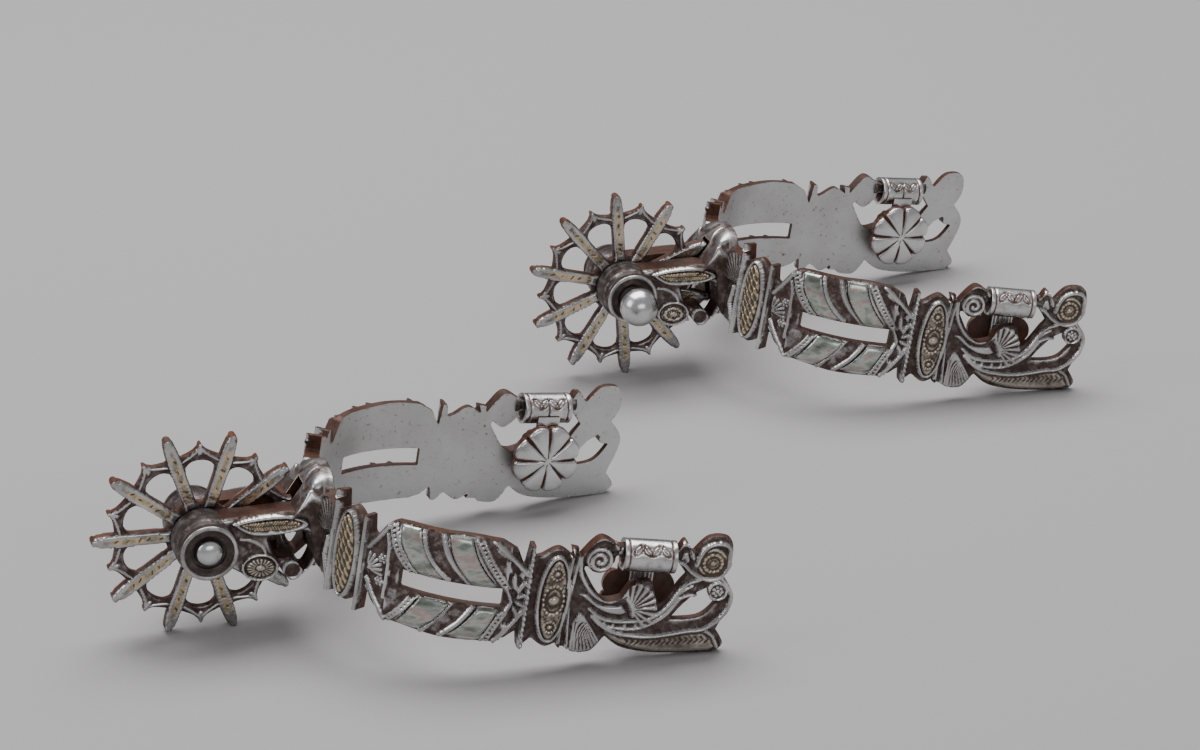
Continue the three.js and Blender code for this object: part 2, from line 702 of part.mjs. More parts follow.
// A domed button of eight petals, its back flat and its face towards +Y.
function button() {
  const around = petals * petalSteps;
  const rings = [0.45, 0.8, 1];
  const positions = [0, buttonBack + buttonHeight * 0.93, 0];
  const triangles = [];
  const petal = (angle) => Math.abs(Math.cos((angle * petals) / 2)) ** 0.5;
  const radiusAt = (angle) => buttonRadius * (1 - petalDepth + petalDepth * petal(angle));
  const heightAt = (share, angle) => {
    const groove = 1 - 0.16 * (1 - Math.abs(Math.cos((angle * petals) / 2)) ** 0.5);
    return buttonRim + (buttonHeight - buttonRim) * Math.sqrt(Math.max(1 - share * share, 0)) * groove;
  };
  const place = (share, angle, y) => [
    radiusAt(angle) * share * Math.cos(angle), y, radiusAt(angle) * share * Math.sin(angle)];
  for (const share of rings) {
    for (let i = 0; i < around; i += 1) {
      const angle = (2 * Math.PI * i) / around;
      positions.push(...place(share, angle, buttonBack + heightAt(share, angle)));
    }
  }
  for (let i = 0; i < around; i += 1) positions.push(...place(1, (2 * Math.PI * i) / around, buttonBack));
  positions.push(0, buttonBack, 0);
  const last = positions.length / 3 - 1;
  for (let i = 0; i < around; i += 1) {
    const next = (i + 1) % around;
    triangles.push(0, 1 + next, 1 + i);
    for (let ring = 0; ring < rings.length; ring += 1) {
      const near = 1 + ring * around;
      const far = near + around;
      triangles.push(near + i, near + next, far + next, near + i, far + next, far + i);
    }
    const rim = 1 + rings.length * around;
    triangles.push(last, rim + i, rim + next);
  }
  const geometry = new THREE.BufferGeometry();
  geometry.setAttribute('position', new THREE.BufferAttribute(new Float32Array(positions), 3));
  geometry.setIndex(triangles);
  geometry.rotateY(Math.PI / petals);
  geometry.computeVertexNormals();
  return geometry;
}

function rivet() {
  const head = tongueNear - seatGap;
  return turned([
    [0, head - rivetHeadHeight], [rivetHeadRadius - 0.6, head - rivetHeadHeight], [rivetHeadRadius, head],
    [rivetRadius, head], [rivetRadius, tongueFar], [0, tongueFar],
  ], 12);
}

// Moves a piece drawn beside the straight stretch of the flat band onto the real branch.
function ontoBranch(geometry) {
  const at = plan(cornerEnd);
  geometry.translate(-cornerEnd, 0, 0);
  geometry.rotateZ(-splay);
  geometry.translate(at.x, at.y, 0);
  return geometry;
}

// ---- one spur ----
function spur(name, phaseDegrees, nearHead, slides) {
  const group = new THREE.Group();
  group.name = `${name}_spur`;
  const add = (label, geometry, material) => {
    const mesh = new THREE.Mesh(geometry, material);
    mesh.name = `${name}_${label}`;
    group.add(mesh);
    return mesh;
  };
  add('heel_band', heelBand(), finishes.steel());
  add('rowel', rowel(), finishes.steel()).rotation.y = -THREE.MathUtils.degToRad(phaseDegrees);
  add('rowel_pin', rowelPin(), finishes.polished());
  ['near', 'far'].forEach((side, i) => {
    const sided = (geometry) => (side === 'near' ? geometry : mirrored(geometry));
    add(`boss_ring_${side}`, sided(bossRing()), finishes.steel());
    add(`pin_head_${side}`, sided(side === 'near' ? nearHead() : pinDome()), finishes.polished());
    add(`cheek_inlay_${side}`, sided(cheekInlay()), finishes.gold());
    add(`cheek_rosette_${side}`, sided(cheekRosette()), finishes.gold());
    add(`collar_inlay_${side}`, sided(ovalInlay(collarOvalAt, collarOvalUp)), finishes.gold());
    add(`strap_inlay_${side}`, sided(ovalInlay(strapOvalAt, strapOvalUp)), finishes.gold());
    Object.entries(strips).forEach(([label, strip]) => {
      add(`rope_strip_${label}_${side}`, sided(ropeStrip(strip)), finishes.pearl());
    });
    const { geometry, middle, low } = hanger(slides[i]);
    add(`hanger_${side}`, sided(ontoBranch(geometry)), finishes.polished());
    const seat = (piece) => sided(ontoBranch(piece.translate(middle, 0, low)));
    add(`button_${side}`, seat(button()), finishes.polished());
    add(`button_rivet_${side}`, seat(rivet()), finishes.steel());
  });
  return group;
}

// The pitch and hub height at which a spur rests on its rowel and its strap ends.
function resting(phaseDegrees) {
  const [along, up] = restCorner;
  const reach = plan(terminalAt + along).x + plateThickness * Math.sin(splay);
  let pitch = 0;
  let height = rowelRadius;
  for (let i = 0; i < 20; i += 1) {
    const depths = [];
    for (let k = 0; k < rowelPoints; k += 1) {
      const angle = THREE.MathUtils.degToRad(phaseDegrees + (360 * k) / rowelPoints) - pitch;
      depths.push(-rowelRadius * Math.sin(angle));
    }
    height = Math.max(...depths);
    pitch = Math.asin((height + up * Math.cos(pitch)) / reach);
  }
  return { pitch, height };
}

function laid(group, phaseDegrees, x, y) {
  const { pitch, height } = resting(phaseDegrees);
  group.rotation.set(0, pitch, THREE.MathUtils.degToRad(yawDegrees), 'ZYX');
  group.position.set(x, y, height);
  return group;
}

const frontPhase = 6.7;
const rearPhase = -5.7;
const pair = new THREE.Group();
pair.add(laid(spur('front', frontPhase, pinDome, [0.7, 0]), frontPhase, 0, 0));
pair.add(laid(spur('rear', rearPhase, pinBall, [-0.8, 0]), rearPhase, ...pairOffset));

// The row's origin is the middle of the pair's footprint, on the ground.
pair.updateMatrixWorld(true);
const bounds = new THREE.Box3().setFromObject(pair, true);
const middle = bounds.getCenter(new THREE.Vector3());
pair.position.set(-middle.x, -middle.y, -bounds.min.z);

export default pair;
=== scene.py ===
# A pair of rowel spurs: the fine chiselled surface, the inlays and the materials.
# Lengths are in millimetres in each spur's own frame, and go into the row frame as metres.
import json
import math

import bpy
import numpy as np
from mathutils import Matrix, Vector


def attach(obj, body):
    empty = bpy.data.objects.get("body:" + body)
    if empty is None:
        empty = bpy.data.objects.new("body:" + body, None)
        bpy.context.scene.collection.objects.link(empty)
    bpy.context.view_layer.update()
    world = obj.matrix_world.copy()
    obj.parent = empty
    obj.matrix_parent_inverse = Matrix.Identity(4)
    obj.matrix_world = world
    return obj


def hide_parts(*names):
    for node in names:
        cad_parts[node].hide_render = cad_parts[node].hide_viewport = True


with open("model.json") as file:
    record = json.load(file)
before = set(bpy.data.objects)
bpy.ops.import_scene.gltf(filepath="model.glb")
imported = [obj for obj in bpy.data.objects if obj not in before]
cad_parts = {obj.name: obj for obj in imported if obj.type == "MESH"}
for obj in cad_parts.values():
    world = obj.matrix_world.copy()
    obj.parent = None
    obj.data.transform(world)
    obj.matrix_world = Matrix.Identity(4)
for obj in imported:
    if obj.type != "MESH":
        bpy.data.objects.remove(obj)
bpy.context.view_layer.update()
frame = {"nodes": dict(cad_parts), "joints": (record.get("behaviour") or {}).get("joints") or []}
joints = {j["name"]: j for j in frame["joints"]}

# ---- sizes of the part ----
PLATE = 2.4
BACK_X = 32.5
BACK_HALF = 5.2
CORNER_RADIUS = 45.0
SPLAY = math.radians(5.5)
CORNER_END = BACK_HALF + CORNER_RADIUS * (math.pi / 2 - SPLAY)
COLLAR_FLANGE = 19.3
COLLAR_OVAL = 25.5
WAIST_FLANGE = 31.8
ROPE_START = 40.9
ROPE_LENGTH = 33.2
TERMINAL = 80.4
STRAP_OVAL = 88.0
COLLAR_OVAL_UP = 6.0
STRAP_OVAL_UP = 5.5
OVAL = (4.6, 13.2)
RIM = 1.0
SLOT_HALF = 2.9
CHEEK_OUTER = 10.5
BOSS_OUTER = 13.1
SLOT_RADIUS = 32.2
BAR_UP = 21.0
BAR_START = TERMINAL + 23.9
BAR_LENGTH = 17.5
BAR_RADIUS = 1.7
SLEEVE_RADIUS = 4.7
SLEEVE_LENGTH = 15.0
SLEEVE_DROP = 1.4
BUTTON_RADIUS = 10.9
BUTTON_DROP = 15.4
NECK_HALF = 11.5
PITCH = {"front": 8.976, "rear": 9.453}
YAW = 16.4
PHASE = {"front": 6.7, "rear": -5.7}
SLIDE = {"front": (0.7, 0.0), "rear": (-0.8, 0.0)}
DRAWN = 0.909  # one unit of the ornament's drawing, mm
CAMERA_LENS = 117.06
CAMERA_SENSOR = 36
CAMERA_AT = (-0.00679, -1.12136, 0.5124)
CAMERA_TILT = math.radians(66.5)
WORLD_COLOUR = (0.9, 0.9, 0.92, 1)
WORLD_STRENGTH = 0.42


# ---- outlines ----
def through(points, steps=8):
    """A smooth run through the points."""
    p = np.array(points, float)
    out = []
    for i in range(len(p) - 1):
        p0, p1, p2, p3 = p[max(i - 1, 0)], p[i], p[i + 1], p[min(i + 2, len(p) - 1)]
        for k in range(steps):
            t = k / steps
            v0, v1 = (p2 - p0) / 2, (p3 - p1) / 2
            cubic = 2 * p1 - 2 * p2 + v0 + v1
            square = -3 * p1 + 3 * p2 - 2 * v0 - v1
            out.append(cubic * t**3 + square * t * t + v0 * t + p1)
    out.append(p[-1])
    return [tuple(q) for q in out]


def terminal(points):
    return [(TERMINAL + x, z) for x, z in points]


def rope(points):
    return [(ROPE_START + x, z) for x, z in points]


def level(x):
    """How far the drawing of the rope panel drops to lie level."""
    return float(np.interp(x, [-9, 0, 18, 36], [4.2, 3.6, 0.95, 0]))


def drawn(points, origin=0.0):
    if origin == ROPE_START:
        return [(origin + DRAWN * x, DRAWN * z - level(x)) for x, z in points]
    return [(origin + DRAWN * x, DRAWN * z) for x, z in points]


def on_t(points, steps=6):
    return through(drawn(points, TERMINAL), steps)


def on_r(points, steps=6):
    return through(drawn(points, ROPE_START), steps)


def on_n(points, steps=6):
    return through(drawn(points), steps)


def ellipse(x, z, a, b, n=72):
    return [(x + a * math.cos(2 * math.pi * i / n),
            z + b * math.sin(2 * math.pi * i / n)) for i in range(n)]


def rope_top(a):
    return 21.7 + 0.7 * a * (ROPE_LENGTH - a) / (ROPE_LENGTH * ROPE_LENGTH / 4)


def slot_top(a):
    return 8.1 - 0.8 * a / ROPE_LENGTH


def slot_bottom(a):
    return 2.5 - 0.8 * a / ROPE_LENGTH


def rope_bottom(a):
    return -8.1 - 0.8 * a / ROPE_LENGTH


REST = (56.8, -8.5)
BIG_OPENING = terminal(
    through([(15.7, 16.2), (19.6, 13.9), (23.8, 17.2)]) + [(24.0, BAR_UP - BAR_RADIUS),
            (41.4, BAR_UP - BAR_RADIUS), (45.0, 14.7)]
    + through([(43.6, 12.8), (40.4, 7.3), (38.2, 4.9)]) + through([(37.2, 6.0), (35.2, 12.0), (29.7, 11.2),
            (27.8, 8.6)])
    + through([(27.0, 6.9), (21.4, 6.4), (15.5, 14.6)]))
SMALL_OPENING = terminal(
    through([(42.1, 0.9), (50.9, 2.5), (55.9, 9.0)]) + through([(55.0, 8.3), (52.6, 8.3), (51.7, 11.3)])
    + [(48.2, 9.1), (44.5, 4.6)])
ROPE_SLOT = rope([(3, slot_bottom(3)), (ROPE_LENGTH, slot_bottom(ROPE_LENGTH)),
        (ROPE_LENGTH, slot_top(ROPE_LENGTH)), (3, slot_top(3))])


def plate_outline():
    def bow(at, up, side, reach):
        return through([(at + side * x, up + side * (reach - 0.13 * x * x)) for x in (-4.4, 0, 4.4)])
    top = ([(-0.01, 19), (12, 18.6), (COLLAR_FLANGE - 0.7, 18.3), (COLLAR_FLANGE - 0.65, 23.1),
            (COLLAR_FLANGE + 0.65, 23.1)]
           + bow(COLLAR_OVAL, COLLAR_OVAL_UP, 1, 14.4)
           + [(WAIST_FLANGE - 0.65, 20.3), (WAIST_FLANGE + 0.65, 20.3), (WAIST_FLANGE + 1.4, 15.4),
                   (WAIST_FLANGE + 3.4, 14.6),
              (ROPE_START - 1.6, 20.8), (ROPE_START, rope_top(0))]
           + through([(ROPE_START + 4, rope_top(4) + 0.1), (ROPE_START + 14, rope_top(14) - 0.2),
                   (ROPE_START + 22, rope_top(22) + 0.2),
                      (ROPE_START + 28, rope_top(28)), (ROPE_START + 31.3, rope_top(ROPE_LENGTH))])
           + [(TERMINAL - 3.8, 19.3), (TERMINAL - 1.4, 14.4), (TERMINAL - 0.65, 21.4),
                   (TERMINAL + 0.65, 21.4), (TERMINAL + 1.2, 17.4)]
           + bow(STRAP_OVAL, STRAP_OVAL_UP, 1, 15.2)
           + [(TERMINAL + 11, 21.2), (TERMINAL + 13.2, 20.8)]
           + terminal(through([(13.2, 18.2), (18.6, 24.8), (24.0, BAR_UP + BAR_RADIUS)])
                      + through([(41.2, BAR_UP + BAR_RADIUS), (43.0, 25.4), (45.7, 21.6)])
                      + through([(45.7, 21.6), (50.0, 26.6), (56.0, 26.4), (57.3, 20.2), (55.1, 15.5)])))
    bottom = (terminal(through([(55.1, 15.5), (59.1, 9.1), (56.0, -1.6)]) + through([(56.0, -1.6),
            (58.7, -5.6), REST])
                       + through([REST, (40.9, -9.8), (30.0, -8.9), (24.2, -5.5)])
                       + through([(24.2, -5.5), (20.5, -10.5), (14.8, -10.5)]))
              + [(TERMINAL + 14.0, -9.4), (TERMINAL + 10.9, -9.4)]
              + bow(STRAP_OVAL, STRAP_OVAL_UP, -1, 15.2)
              + [(TERMINAL + 0.65, -9.8), (TERMINAL - 0.65, -9.8), (TERMINAL - 1.4, -5.2),
                      (TERMINAL - 4.3, -7.6), (ROPE_START + 31.6, rope_bottom(ROPE_LENGTH))]
              + through([(ROPE_START + 24, rope_bottom(24) - 0.6), (ROPE_START + 16, rope_bottom(16) - 0.9),
                      (ROPE_START + 8, rope_bottom(8) - 0.4),
                         (ROPE_START + 0.6, rope_bottom(0))])
              + [(WAIST_FLANGE + 3, -2.0), (WAIST_FLANGE + 0.9, -3.0), (WAIST_FLANGE + 0.65, -8.7),
                      (WAIST_FLANGE - 0.65, -8.7)]
              + bow(COLLAR_OVAL, COLLAR_OVAL_UP, -1, 14.4)
              + [(COLLAR_FLANGE + 0.65, -8.0), (COLLAR_FLANGE - 0.65, -8.0), (COLLAR_FLANGE - 0.7, -6.4),
                      (-0.01, -4.4)])
    return top + bottom


# ---- relief: a height over a flat drawing ----
def segments_distance(u, z, pts, closed):
    p = np.array(pts, float)
    q = np.roll(p, -1, 0) if closed else p[1:]
    p = p if closed else p[:-1]
    best = np.full(u.shape, 1e9)
    inside = np.zeros(u.shape, bool)
    along = np.zeros(u.shape)
    run = 0.0
    for (ax, az), (bx, bz) in zip(p, q):
        dx, dz = bx - ax, bz - az
        length = math.hypot(dx, dz)
        if length < 1e-9:
            continue
        t = np.clip(((u - ax) * dx + (z - az) * dz) / length**2, 0, 1)
        d = np.hypot(u - ax - t * dx, z - az - t * dz)
        closer = d < best
        best = np.where(closer, d, best)
        along = np.where(closer, run + t * length, along)
        run += length
        if closed and dz != 0:
            crossing = (az > z) != (bz > z)
            inside ^= crossing & (u < ax + (z - az) / dz * dx)
    return best, inside, along, run


def signed(u, z, outline):
    d, inside, _, _ = segments_distance(u, z, outline, True)
    return np.where(inside, d, -d)


def blurred(h, mask, cells):
    r = int(3 * cells) + 1
    k = np.exp(-0.5 * (np.arange(-r, r + 1) / cells) ** 2)

    def run(a):
        for axis in (0, 1):
            a = np.apply_along_axis(lambda row: np.convolve(row, k)[r:r + len(row)], axis, a)
        return a
    return run(h * mask) / np.maximum(run(mask.astype(float)), 1e-6)


class Relief:
    def __init__(self, outline, holes=(), step=0.4, edge=0.5, base=0.0):
        p = np.array(outline, float)
        lo, hi = p.min(0) - step, p.max(0) + step
        self.step = step
        u, z = np.meshgrid(np.arange(lo[0], hi[0] + step, step), np.arange(lo[1], hi[1] + step, step),
                indexing="ij")

        def field(u, z):
            sd = signed(u, z, outline)
            for hole in holes:
                sd = np.minimum(sd, -signed(u, z, hole))
            return sd
        sd = field(u, z)
        gu, gz = np.gradient(sd, step)
        size = np.hypot(gu, gz) + 1e-9
        near = np.abs(sd) < 0.72 * step
        shift = np.where(near, -sd, 0)
        u, z = u + shift * gu / size, z + shift * gz / size
        sd = field(u, z)
        self.valid = sd > -0.16 * step
        self.u, self.z, self.sd = u, z, np.maximum(sd, 0)
        self.h = np.full(u.shape, float(base)) - self.rounding(edge)
        self.gold = np.zeros(u.shape)
        # painted light: a lightness offset per point, positive for painted highlights on crests and rims,
        # negative for painted shade in grooves, seats and recessed panels
        self.bright = np.zeros(u.shape)

    def rounding(self, edge):
        t = 1 - np.clip(self.sd / edge, 0, 1)
        return edge * (1 - np.sqrt(np.maximum(1 - t * t, 0)))

    def lift(self, height, where, gold=0.0, bright=0.0):
        up = where & (height > self.h)
        self.h = np.where(up, height, self.h)
        self.gold = np.where(up, gold, self.gold)
        self.bright = np.where(up, bright, self.bright)

    # a rounded ridge; by default its crest carries a painted highlight
    def ridge(self, pts, half, top, foot=None, bright=0.35, gold=0.0, taper=0.0):
        d, _, along, total = segments_distance(self.u, self.z, pts, False)
        width = half * np.where(taper > 0, np.clip(np.minimum(along, total - along) / max(taper,
                1e-6) + 0.25, 0.25, 1), 1)
        s = np.clip(d / width, 0, 1)
        foot = top - 1.1 * half if foot is None else foot
        self.lift(foot + (top - foot) * np.sqrt(1 - s * s), d < width, gold, bright)

    # a groove, by default painted darker as shade
    def groove(self, pts, half, depth, bright=-0.3):
        d, _, _, _ = segments_distance(self.u, self.z, pts, False)
        s = np.clip(d / half, 0, 1)
        self.h -= depth * (1 - s * s) * (d < half)
        self.bright += bright * (d < half)

    def beads(self, pts, spacing, radius, top, bright=0.35):
        p = np.array(pts, float)
        steps = np.hypot(*np.diff(p, axis=0).T)
        run = np.concatenate([[0], np.cumsum(steps)])
        count = max(int(run[-1] / spacing), 1)
        for at in np.linspace(0, run[-1], count + 1):
            x, z = np.interp(at, run, p[:, 0]), np.interp(at, run, p[:, 1])
            self.dot(x, z, radius, top, bright)

    # a domed dot, by default with a painted highlight (beads are rows of these)
    def dot(self, x, z, radius, top, bright=0.35, gold=0.0):
        d = np.hypot(self.u - x, self.z - z)
        s = np.clip(d / radius, 0, 1)
        self.lift(top - radius + radius * np.sqrt(1 - s * s), d < radius, gold, bright)

    def area(self, pts, top, edge=0.4, foot=None, gold=0.0, bright=0.0):
        sd = signed(self.u, self.z, pts)
        t = 1 - np.clip(sd / edge, 0, 1)
        drop = edge if foot is None else top - foot
        self.lift(top - drop * (1 - np.sqrt(np.maximum(1 - t * t, 0))), sd > 0, gold, bright)
        return sd

    # a raised ring whose crest carries a painted highlight
    def ring(self, x, z, a, b, width, top, bright=0.4):
        pts = ellipse(x, z, a - width / 2, b - width / 2, 48)
        self.ridge(pts + pts[:1], width / 2, top, bright=bright)

    def spiral(self, x, z, r, turns, half, top, start=0.0, hand=1):
        n = 40
        pts = [(x + r * (1 - 0.85 * i / n) * math.cos(start + hand * 2 * math.pi * turns * i / n),
                z + r * (1 - 0.85 * i / n) * math.sin(start + hand * 2 * math.pi * turns * i / n)) for i in range(n + 1)]
        self.ridge(pts, half, top)

    def fan(self, apex, a0, a1, reach, top, flutes, scallop=0.08, rim=0.0, sink=0.55):
        """A fluted shell: rays from the apex, rounded tips, grooves between."""
        dx, dz = self.u - apex[0], self.z - apex[1]
        r = np.hypot(dx, dz)
        ang = (np.arctan2(dz, dx) - a0) % (2 * math.pi)
        span = (a1 - a0) % (2 * math.pi)
        share = ang / span
        wave = np.abs(np.sin(math.pi * flutes * share))
        edge = reach * (1 - scallop * (1 - wave))
        inside = (ang < span) & (r < edge)
        body = top - sink * (1 - wave**0.8) * np.clip(r / reach * 2.2, 0, 1) - 0.5 * (r / reach) ** 3
        # painted highlight on the flute crests, painted shade between them
        self.lift(body, inside, 0, 0.15 * wave - 0.1)
        if rim:
            arc = [(apex[0] + reach * 0.97 * math.cos(a0 + span * i / 24),
                    apex[1] + reach * 0.97 * math.sin(a0 + span * i / 24)) for i in range(25)]
            self.ridge(arc, rim, top + 0.1)

    def finish(self, gain=1.0, flat=0.28):
        cells = 1 / self.step
        inside = self.valid
        slow = self.h - blurred(self.h, inside, 1.3 * cells)
        quick = self.h - blurred(self.h, inside, 0.5 * cells)
        # lighter where the surface stands above its blurred surroundings and darker in its hollows, plus
        # the painted highlights and painted shade added per point
        self.wear_and_painted_light = np.clip(flat + gain * (1.1 * slow + 2.4 * quick) + self.bright, 0, 1)
        return self


def mesh_object(name, verts, faces, look, mats, mat_index=None, smooth=True):
    me = bpy.data.meshes.new(name)
    me.from_pydata([tuple(v) for v in verts], [], faces)
    for m in mats:
        me.materials.append(m)
    if mat_index is not None:
        me.polygons.foreach_set("material_index", np.array(mat_index, np.int32))
    if smooth:
        me.polygons.foreach_set("use_smooth", np.ones(len(faces), bool))
    at = me.attributes.new("look", "FLOAT_COLOR", "POINT")
    at.data.foreach_set("color", np.array(look, np.float32).ravel())
    me.update()
    ob = bpy.data.objects.new(name, me)
    bpy.context.scene.collection.objects.link(ob)
    return ob


def relief_object(name, relief, place, mats, back, flip=False, both=False):
    """A plate with the relief on its outer side, flat (or the same relief) behind."""
    v = relief.valid
    number = np.full(v.shape, -1)
    number[v] = np.arange(v.sum())
    a, b, c, d = number[:-1, :-1], number[1:, :-1], number[1:, 1:], number[:-1, 1:]
    corners = np.stack([a, b, c, d], -1).reshape(-1, 4)
    have = (corners >= 0).sum(1)
    quads = corners[have == 4].tolist()
    tris = [[k for k in row if k >= 0] for row in corners[have == 3].tolist()]
    front = quads + tris
    count = int(v.sum())
    u, z, h, wear_and_painted_light, gold = (x[v] for x in (relief.u, relief.z, relief.h, relief.wear_and_painted_light, relief.gold))
    rear = -h if both else np.full(count, float(back))
    rear = np.minimum(rear, h - 0.2)
    edges = {}
    for f in front:
        for i, k in enumerate(f):
            e = (k, f[(i + 1) % len(f)])
            if (e[1], e[0]) in edges:
                del edges[(e[1], e[0])]
            else:
                edges[e] = True
    rim = sorted({k for e in edges for k in e})
    rim_at = {k: i for i, k in enumerate(rim)}
    r = np.array(rim)
    up = np.concatenate([h, rear, h[r], rear[r]])
    uu = np.concatenate([u, u, u[r], u[r]])
    zz = np.concatenate([z, z, z[r], z[r]])
    verts = place(uu, up, zz)
    back_faces = [[k + count for k in reversed(f)] for f in front]
    s0, s1 = 2 * count, 2 * count + len(rim)
    walls = [[s0 + rim_at[e[1]], s0 + rim_at[e[0]], s1 + rim_at[e[0]], s1 + rim_at[e[1]]] for e in edges]
    faces = front + back_faces + walls
    index = [0] * len(front) + [0 if both else 2] * len(back_faces) + [1] * len(walls)
    # seen from outside, u runs right and z up, so the faces already turn outwards
    if flip:
        faces = [list(reversed(f)) for f in faces]
    zeros = np.zeros(count)
    look_front = np.stack([wear_and_painted_light, gold, zeros, zeros + 1], -1)
    look_back = look_front if both else np.stack([zeros + 0.5, zeros, zeros, zeros + 1], -1)
    look = np.concatenate([look_front, look_back, look_front[r], look_front[r] * 0])
    return mesh_object(name, verts, faces, look, mats, index)


# ---- places ----
def plan(d):
    d = np.asarray(d, float)
    turn = (np.clip(d, BACK_HALF, CORNER_END) - BACK_HALF) / CORNER_RADIUS
    straight = np.maximum(d - CORNER_END, 0)
    tx, ty = np.sin(turn), -np.cos(turn)
    x = BACK_X + CORNER_RADIUS * (1 - np.cos(turn)) + straight * tx
    y = -np.minimum(d, BACK_HALF) - CORNER_RADIUS * np.sin(turn) + straight * ty
    return x, y, tx, ty


class Spur:
    def __init__(self, name):
        self.name = name
        hub = Vector(joints[f"{name}_rowel_spin"]["pos_m"])
        turn = Matrix.Rotation(math.radians(YAW), 3, "Z") @ Matrix.Rotation(math.radians(PITCH[name]), 3,
                "Y")
        self.r = np.array(turn)
        self.t = np.array(hub)

    def world(self, x, y, z):
        p = np.stack([x, y, z], -1) * 0.001
        return p @ self.r.T + self.t

    def band(self, side):
        def place(u, h, z):
            x, y, tx, ty = plan(u)
            return self.world(x + h * ty, side * (y - h * tx), z)
        return place

    def cheek(self, side):
        return lambda u, h, z: self.world(u, -side * h, z)

    def branch(self, side):
        """Beside the straight stretch: u along it, y inwards from the outer face, z up."""
        x0, y0, tx, ty = plan(CORNER_END)

        def place(u, y, z):
            d = u - CORNER_END
            return self.world(x0 + d * tx - y * ty, side * (y0 + d * ty + y * tx), z)
        return place


# ---- materials ----
def nodes_of(name):
    m = bpy.data.materials.new(name)
    m.use_nodes = True
    t = m.node_tree
    bsdf = t.nodes["Principled BSDF"]
    coord = t.nodes.new("ShaderNodeTexCoord")
    return m, t, bsdf, coord


def noise(t, coord, scale, detail=4.0, rough=0.6, stretch=None):
    n = t.nodes.new("ShaderNodeTexNoise")
    n.inputs["Scale"].default_value = scale
    n.inputs["Detail"].default_value = detail
    n.inputs["Roughness"].default_value = rough
    if stretch:
        mp = t.nodes.new("ShaderNodeMapping")
        mp.inputs["Scale"].default_value = stretch
        t.links.new(coord.outputs["Object"], mp.inputs["Vector"])
        t.links.new(mp.outputs["Vector"], n.inputs["Vector"])
    else:
        t.links.new(coord.outputs["Object"], n.inputs["Vector"])
    return n.outputs["Fac"]


def ramp(t, value, stops):
    r = t.nodes.new("ShaderNodeValToRGB")
    e = r.color_ramp.elements
    while len(e) < len(stops):
        e.new(0.5)
    for i, (p, c) in enumerate(stops):
        e[i].position = p
        e[i].color = (*c, 1) if len(c) == 3 else c
    t.links.new(value, r.inputs["Fac"])
    return r.outputs["Color"]


def grey(t, value, stops):
    return ramp(t, value, [(p, (g, g, g)) for p, g in stops])


def mix(t, factor, a, b, mode="MIX"):
    m = t.nodes.new("ShaderNodeMix")
    m.data_type = "RGBA"
    m.blend_type = mode
    for socket, value in ((m.inputs[0], factor), (m.inputs[6], a), (m.inputs[7], b)):
        if isinstance(value, (int, float)):
            socket.default_value = value
        elif isinstance(value, tuple):
            socket.default_value = (*value, 1)
        else:
            t.links.new(value, socket)
    return m.outputs[2]


def math_node(t, op, a, b=0.0, clamp=False):
    m = t.nodes.new("ShaderNodeMath")
    m.operation = op
    m.use_clamp = clamp
    for socket, value in ((m.inputs[0], a), (m.inputs[1], b)):
        if isinstance(value, (int, float)):
            socket.default_value = value
        else:
            t.links.new(value, socket)
    return m.outputs[0]


def bump(t, bsdf, value, strength, distance):
    b = t.nodes.new("ShaderNodeBump")
    b.inputs["Strength"].default_value = strength
    b.inputs["Distance"].default_value = distance
    t.links.new(value, b.inputs["Height"])
    t.links.new(b.outputs["Normal"], bsdf.inputs["Normal"])


def look_of(t):
    a = t.nodes.new("ShaderNodeAttribute")
    a.attribute_name = "look"
    s = t.nodes.new("ShaderNodeSeparateColor")
    t.links.new(a.outputs["Color"], s.inputs["Color"])
    return s.outputs


DARK = [(0.25, (0.022, 0.010, 0.007)), (0.48, (0.065, 0.038, 0.031)), (0.68, (0.16, 0.13, 0.12))]
STEEL = [(0.3, (0.33, 0.32, 0.315)), (0.6, (0.58, 0.575, 0.57)), (0.8, (0.74, 0.74, 0.735))]
GOLD = [(0.30, (0.33, 0.32, 0.27)), (0.43, (0.50, 0.45, 0.32)), (0.56, (0.66, 0.52, 0.33)),
        (0.72, (0.66, 0.50, 0.40))]


def chiselled(name, gain=1.0, shift=0.0, gold_all=0.0, dark=DARK, steel=STEEL, rough=(0.5, 0.27)):
    m, t, bsdf, coord = nodes_of(name)
    look = look_of(t)
    fine = noise(t, coord, 1900, 5, 0.7)
    mid = noise(t, coord, 420, 4, 0.65)
    wide = noise(t, coord, 90, 3, 0.5)
    jitter = math_node(t, "MULTIPLY", math_node(t, "SUBTRACT", mid, 0.5), 0.75)
    jitter2 = math_node(t, "MULTIPLY", math_node(t, "SUBTRACT", fine, 0.5), 0.45)
    value = math_node(t, "ADD", math_node(t, "ADD", math_node(t, "MULTIPLY", look["Red"], gain), jitter),
            math_node(t, "ADD", jitter2, shift))
    # look Red: the wear pattern with the painted highlights and painted shade; it picks between the dark
    # colour and the steel and sets roughness and metallic
    wear_and_painted_light = grey(t, value, [(0.27, 0.0), (0.46, 0.42), (0.72, 1.0)])
    dark_c = ramp(t, mid, dark)
    steel_c = ramp(t, wide, steel)
    base = mix(t, wear_and_painted_light, dark_c, steel_c)
    gold_c = mix(t, wear_and_painted_light, (0.085, 0.062, 0.042), ramp(t, mid, GOLD))
    base = mix(t, gold_all or look["Green"], base, gold_c)
    t.links.new(base, bsdf.inputs["Base Color"])
    r = grey(t, wear_and_painted_light, [(0.0, rough[0]), (1.0, rough[1])])
    t.links.new(math_node(t, "ADD", r, math_node(t, "MULTIPLY", math_node(t, "SUBTRACT", fine, 0.5), 0.25)),
            bsdf.inputs["Roughness"])
    t.links.new(grey(t, wear_and_painted_light, [(0.0, 0.35), (0.6, 1.0)]), bsdf.inputs["Metallic"])
    bump(t, bsdf, mix(t, 0.35, mid, fine), 0.35, 0.00012)
    return m


